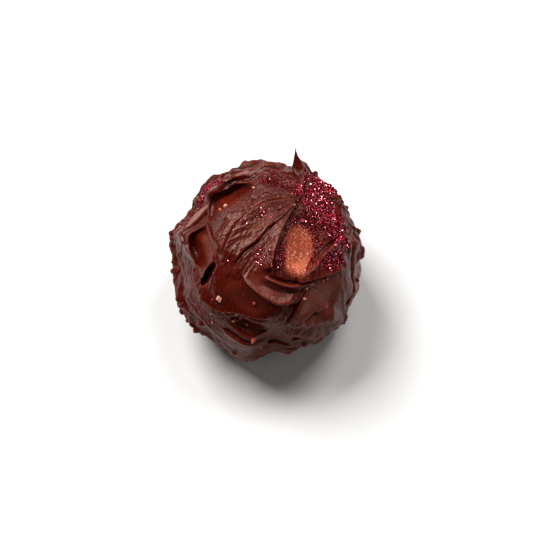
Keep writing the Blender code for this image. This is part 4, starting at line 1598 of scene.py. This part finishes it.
@dataclass(frozen=True)
class DarkChocolate:
    """Tempered dark chocolate spread by hand: satin, dull where the knife dragged it."""

    # The colour under all others, and the ones that lie over it in this order: clouds of brown, thin
    # warm chocolate with a painted glow of light through it, bloom with painted sheen, specks of
    # cocoa, painted shade in the creases, painted highlight on the edges, copper lustre and its
    # flakes, and the crimson that the berry sugar leaves.
    deep: str = "#3e0600"
    brown: str = "#5a1206"
    thin: str = "#742600"
    bloom_and_painted_sheen: str = "#662a1e"
    cocoa: str = "#1c0200"
    painted_crease_shade: str = "#140000"
    edge: str = "#682214"
    copper: str = "#b85436"
    flake: str = "#f49c86"
    berry: str = "#500a12"
    gloss: float = 0.27
    gloss_tint: str = "#ffd2c2"
    roughness: float = 0.24
    # How much rougher it is where it is dull, and how much more a thin place counts as dull.
    dullness: float = 0.06
    thin_dullness: float = 4.0
    # Noise, as its width in millimetres and its detail: the clouds, the grain of the set surface,
    # the powder of the berry sugar and the flakes of the lustre.
    clouds: Pair = (4.0, 3.0)
    grain: Pair = (0.25, 2.0)
    powder: Pair = (0.22, 2.0)
    flakes: Pair = (0.3, 0.0)
    # Ridges, as their width in millimetres: the knife's fine lines, which are drawn out along the
    # sweep, and the crumpled skin that crosses them.
    line_width: float = 0.55
    line_stretch: float = 0.12
    crumple_width: float = 0.9
    # Spans, as the value that gives 0, the value that gives the most, and the most: how coarse a
    # place that isn't smooth is, then how far specks, the painted shade of creases, the painted
    # highlight of edges, flakes and powder cover what is under them, and how much roughness the
    # clouds add.
    coarse_span: Triple = (1.0, 0.0, 1.0)
    speck_span: Triple = (0.46, 0.66, 0.75)
    crease_shade_span: Triple = (0.45, 0.1, 0.75)
    edge_light_span: Triple = (0.58, 0.95, 0.55)
    flake_span: Triple = (0.62, 0.7, 0.8)
    powder_span: Triple = (0.72, 0.92, 0.85)
    gloss_span: Triple = (0.3, 0.7, 0.12)
    # How the grain mottles the lustre, as a factor and what is added, and how far the sugar's stain
    # helps its powder to show.
    mottling: Pair = (0.9, 0.45)
    dusting: float = 0.62
    # Depths of the grain, the fine lines and the crumpled skin, in millimetres.
    grain_depth: float = 0.02
    line_depth: float = 0.05
    crumple_depth: float = 0.06

    def material(self) -> bpy.types.Material:
        """Builds the material on Object coordinates and the coating's attributes.

        Returns:
            The material.
        """
        made, tree, shader = new_material("tempered_dark_chocolate")
        place = add_node(tree, "ShaderNodeTexCoord", out="Object")
        share = {
            stain: add_node(tree, "ShaderNodeAttribute", out="Fac", attribute_name=stain.value)
            for stain in Stain
        }
        sweep, crossing = (
            add_node(tree, "ShaderNodeAttribute", out="Vector", attribute_name=name)
            for name in (SWEEP, CROSSING)
        )
        clouds, grain, powder, flakes = (
            add_node(
                tree,
                "ShaderNodeTexNoise",
                {"Vector": place, "Scale": 1.0 / (width * MM), "Detail": detail},
            )
            for width, detail in (self.clouds, self.grain, self.powder, self.flakes)
        )
        stretch = {"Vector": sweep, "Scale": (1.0, 1.0, self.line_stretch)}
        drawn_out = add_node(tree, "ShaderNodeMapping", stretch)
        lines, crumples = (
            add_node(
                tree,
                "ShaderNodeTexNoise",
                {"Vector": rows, "Scale": 1.0 / width, "Detail": 1.0, "Offset": 1.0},
                noise_type="RIDGED_MULTIFRACTAL",
            )
            for rows, width in ((drawn_out, self.line_width), (crossing, self.crumple_width))
        )
        covered = {0: share[Stain.BLOOM], 1: share[Stain.COPPER]}
        least_dull = add_node(tree, "ShaderNodeMath", covered, operation="MAXIMUM")
        mottled, dusted, dull = (
            add_node(
                tree,
                "ShaderNodeMath",
                {0: value, 1: factor, 2: added},
                operation="MULTIPLY_ADD",
            )
            for value, factor, added in (
                (grain, *self.mottling),
                (share[Stain.BERRY], self.dusting, powder),
                (share[Stain.THIN], self.thin_dullness, least_dull),
            )
        )
        coarse, specks, painted_crease_shading, edges, flecks, dust, gloss = (
            add_node(
                tree,
                "ShaderNodeMapRange",
                {"Value": value, "From Min": low, "From Max": high, "To Min": 0.0, "To Max": most},
                clamp=True,
            )
            for value, (low, high, most) in (
                (share[Stain.SMOOTH], self.coarse_span),
                (grain, self.speck_span),
                (share[Stain.EDGE], self.crease_shade_span),
                (share[Stain.EDGE], self.edge_light_span),
                (flakes, self.flake_span),
                (dusted, self.powder_span),
                (clouds, self.gloss_span),
            )
        )
        speckled, lustre, flaked, reddened = (
            add_node(
                tree,
                "ShaderNodeMath",
                {0: value, 1: factor},
                operation="MULTIPLY",
                use_clamp=True,
            )
            for value, factor in (
                (specks, coarse),
                (share[Stain.COPPER], mottled),
                (share[Stain.COPPER], flecks),
                (dust, share[Stain.BERRY]),
            )
        )
        colour: Value = linear(self.deep)
        for amount, tint in (
            (clouds, self.brown),
            # Thin chocolate's warmer tone, partly a painted glow of light through it.
            (share[Stain.THIN], self.thin),
            # Bloom, partly a painted sheen, greys and lightens the chocolate.
            (share[Stain.BLOOM], self.bloom_and_painted_sheen),
            (speckled, self.cocoa),
            # Painted shade darkens the creases, and a painted highlight lightens the edges.
            (painted_crease_shading, self.painted_crease_shade),
            (edges, self.edge),
            (lustre, self.copper),
            (flaked, self.flake),
            (reddened, self.berry),
        ):
            inputs = {FACTOR: amount, FROM_COLOUR: colour, TO_COLOUR: linear(tint)}
            colour = add_node(tree, "ShaderNodeMix", inputs, MIXED, data_type="RGBA")
        rough = {0: dull, 1: self.dullness, 2: self.roughness}
        rough = {0: add_node(tree, "ShaderNodeMath", rough, operation="MULTIPLY_ADD"), 1: gloss}
        bent: dict[str, Value] = {}
        for strength, height, depth, inwards in (
            (coarse, grain, self.grain_depth, False),
            (coarse, lines, self.line_depth, True),
            (share[Stain.SKIN], crumples, self.crumple_depth, True),
        ):
            inputs = {"Strength": strength, "Distance": depth * MM, "Height": height, **bent}
            bent = {"Normal": add_node(tree, "ShaderNodeBump", inputs, invert=inwards)}
        finish = {
            "Base Color": colour,
            "Roughness": add_node(tree, "ShaderNodeMath", rough, operation="ADD"),
            "Specular IOR Level": self.gloss,
            "Specular Tint": linear(self.gloss_tint),
            **bent,
        }
        set_inputs(tree, shader, finish)
        return made


@dataclass(frozen=True)
class BerrySugar:
    """Sugar crystals in a crimson lustre dust: flat sides that flash pink."""

    dark: str = "#260206"
    light: str = "#a81628"
    pale: str = "#ff9cac"
    glint: str = "#f49aa8"
    ior: float = 2.0
    roughness: float = 0.17
    metallic: float = 0.8
    tint_width: float = 0.5

    def material(self) -> bpy.types.Material:
        """Builds the material on Object coordinates and the grains' attribute.

        Returns:
            The material.
        """
        made, tree, shader = new_material("lustred_berry_sugar")
        place = add_node(tree, "ShaderNodeTexCoord", out="Object")
        inputs = {"Vector": place, "Scale": 1.0 / (self.tint_width * MM), "Detail": 1.0}
        tint = add_node(tree, "ShaderNodeTexNoise", inputs)
        bare = add_node(tree, "ShaderNodeAttribute", out="Fac", attribute_name=PALE)
        colour: Value = linear(self.dark)
        for amount, shade in ((tint, self.light), (bare, self.pale)):
            inputs = {FACTOR: amount, FROM_COLOUR: colour, TO_COLOUR: linear(shade)}
            colour = add_node(tree, "ShaderNodeMix", inputs, MIXED, data_type="RGBA")
        finish = {
            "Base Color": colour,
            "Roughness": self.roughness,
            "Metallic": self.metallic,
            "IOR": self.ior,
            "Specular Tint": linear(self.glint),
        }
        set_inputs(tree, shader, finish)
        return made


@dataclass(frozen=True)
class Crumb:
    """Broken nut or dried berry: matte, lighter where it is broken."""

    name: str
    dark: str
    light: str
    roughness: float = 0.6
    # The grain's width and depth in millimetres, how strongly it stands out, and the span of its
    # noise over which the dark colour turns into the light one.
    grain_width: float = 0.3
    grain_depth: float = 0.06
    grain_strength: float = 0.5
    grain_span: Pair = (0.35, 0.65)

    def material(self) -> bpy.types.Material:
        """Builds the material on Object coordinates.

        Returns:
            The material.
        """
        made, tree, shader = new_material(self.name)
        place = add_node(tree, "ShaderNodeTexCoord", out="Object")
        inputs = {"Vector": place, "Scale": 1.0 / (self.grain_width * MM), "Detail": 2.0}
        grain = add_node(tree, "ShaderNodeTexNoise", inputs)
        low, high = self.grain_span
        inputs = {"Value": grain, "From Min": low, "From Max": high, "To Min": 0.0, "To Max": 1.0}
        share = add_node(tree, "ShaderNodeMapRange", inputs, clamp=True)
        inputs = {FACTOR: share, FROM_COLOUR: linear(self.dark), TO_COLOUR: linear(self.light)}
        colour = add_node(tree, "ShaderNodeMix", inputs, MIXED, data_type="RGBA")
        depth = self.grain_depth * MM
        inputs = {"Strength": self.grain_strength, "Distance": depth, "Height": grain}
        bump = add_node(tree, "ShaderNodeBump", inputs)
        finish = {"Base Color": colour, "Roughness": self.roughness, "Normal": bump}
        set_inputs(tree, shader, finish)
        return made


@dataclass(frozen=True)
class PaleCard:
    """The floor's matte white card."""

    colour: str = "#e6e5e3"
    roughness: float = 0.8

    def material(self) -> bpy.types.Material:
        """Builds the material, in one colour."""
        made, tree, shader = new_material("pale_card")
        finish = {"Base Color": linear(self.colour), "Roughness": self.roughness}
        set_inputs(tree, shader, finish)
        return made


@dataclass(frozen=True)
class Panel:
    """A soft panel light: where it stands in metres, its width and height, and its watts."""

    place: Triple
    sides: Pair
    power: float

    def hang(self, name: str, target: Vector) -> None:
        """Hangs the light.

        Args:
            name: The light's name.
            target: What it faces.
        """
        data = bpy.data.lights.new(name, "AREA")
        data.energy = self.power
        data.shape = "RECTANGLE"
        data.size, data.size_y = self.sides
        lamp = link_object(name, data)
        lamp.location = self.place
        towards = target - Vector(self.place)
        lamp.rotation_euler = towards.to_track_quat("-Z", "Y").to_euler()


@dataclass
class Studio:
    """The pale floor, the soft lights and the camera."""

    floor_size: float = 3.0
    world_strength: float = 0.045
    # The main light from the upper left, a second from the upper right and a faint one below it.
    key: Panel = Panel((-0.34, 0.36, 0.57), (0.5, 0.36), 8.9)
    top: Panel = Panel((0.26, 0.36, 0.55), (0.3, 0.3), 2.5)
    fill: Panel = Panel((0.5, -0.25, 0.55), (0.5, 0.5), 0.7)
    # The picture's frame: its width in pixels, the pixel where the ball's centre is, and what one
    # pixel spans there.
    frame_px: int = 533
    centre_px: Pair = (265, 261)
    mm_per_px: float = 0.1753
    camera_distance: float = 0.6
    sensor: float = 36.0

    def build(self, ball: Ball) -> None:
        """Sets up the floor, the lights and the camera.

        Args:
            ball: The ball that the camera looks at.
        """
        self.lay_floor()
        world = bpy.data.worlds.new("soft_studio")
        world.use_nodes = True
        background = world.node_tree.nodes["Background"]
        background.inputs["Color"].default_value = linear("#ffffff")
        background.inputs["Strength"].default_value = self.world_strength
        bpy.context.scene.world = world
        target = Vector((0.0, 0.0, ball.base_depth * MM))
        for name, panel in (("key", self.key), ("top", self.top), ("fill", self.fill)):
            panel.hang(name, target)
        self.place_camera(target)
        bpy.context.scene.view_settings.view_transform = "Standard"

    def lay_floor(self) -> None:
        """Lays the pale floor under the truffle."""
        shape = bmesh.new()
        bmesh.ops.create_grid(shape, x_segments=1, y_segments=1, size=self.floor_size / 2)
        floor = new_piece("floor", shape)
        floor.data.materials.append(PaleCard().material())

    def place_camera(self, target: Vector) -> None:
        """Places the camera in front of the swept face, with the photo's framing.

        Args:
            target: The point that lies on the photo's centre pixel.
        """
        data = bpy.data.cameras.new("camera")
        data.sensor_width = self.sensor
        data.lens = self.sensor * self.camera_distance / (self.frame_px * self.mm_per_px * MM)
        data.shift_x = (self.frame_px / 2 - self.centre_px[0]) / self.frame_px
        data.shift_y = (self.centre_px[1] - self.frame_px / 2) / self.frame_px
        camera = link_object("camera", data)
        axes = Matrix((FACE_RIGHT, FACE_UP, FACE_OUT)).transposed()
        place = target + Vector(FACE_OUT) * self.camera_distance
        camera.matrix_world = Matrix.Translation(place) @ axes.to_4x4()
        bpy.context.scene.camera = camera


NUT_CRUMBS = Crumbs(
    "nut_crumbs",
    (
        (-7.4, 10.3, 0.46),
        (-7.9, -6.5, 0.58),
        (-2.1, 13.3, 0.3),
        (6.7, -6.5, 0.32),
        (7.2, -4.7, 0.34),
        (-4.9, -15.6, 0.42),
        (4.9, 9.3, 0.3),
        (-4.9, -9.3, 0.28),
    ),
    31,
)
BERRY_CRUMBS = Crumbs(
    "berry_crumbs",
    (
        (-8.4, 9.6, 0.42),
        (9.8, -3.3, 0.34),
        (10.5, -3.0, 0.36),
        (11.4, 11.6, 0.45),
        (11.9, 11.0, 0.34),
        (-6.1, -16.1, 0.38),
        (-4.2, -16.3, 0.3),
        (-7.2, -8.9, 0.34),
        (-9.1, -10.7, 0.3),
        (-5.7, -10.8, 0.46),
        (-3.3, -11.7, 0.34),
        (-2.1, -13.5, 0.5),
        (-1.9, -7.5, 0.3),
        (5.6, 12.1, 0.26),
    ),
    37,
)


def dress(piece: bpy.types.Object, slot: Slot, material: bpy.types.Material) -> None:
    """Gives a piece its finish and its body, and logs it.

    Args:
        piece: The piece.
        slot: The slot that its finish stands for; not used.
        material: The finish.
    """
    piece.data.materials.append(material)
    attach(piece, "root")
    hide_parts("truffle")
    LOG.info("%s: %d faces", piece.name, len(piece.data.polygons))


def main() -> None:
    """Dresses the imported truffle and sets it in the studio."""
    logging.basicConfig(level=logging.INFO)
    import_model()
    low, high = (np.array(corner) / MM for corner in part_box("truffle"))
    coating = Coating()
    shell = coating.build(low, high)
    surface = Surface(shell)
    dress(shell, Slot.CHOCOLATE, DarkChocolate().material())
    grains = SugarGrains().build(surface, low, high)
    dress(grains, Slot.SUGAR, BerrySugar().material())
    nuts = NUT_CRUMBS.build(surface, coating.ball)
    dress(nuts, Slot.NUT, Crumb("roasted_nut", "#a0583c", "#d09a78").material())
    berries = BERRY_CRUMBS.build(surface, coating.ball)
    dress(berries, Slot.SUGAR, Crumb("dried_berry", "#8c2018", "#d0604a", 0.4).material())
    Studio().build(coating.ball)


if __name__ == "__main__":
    main()
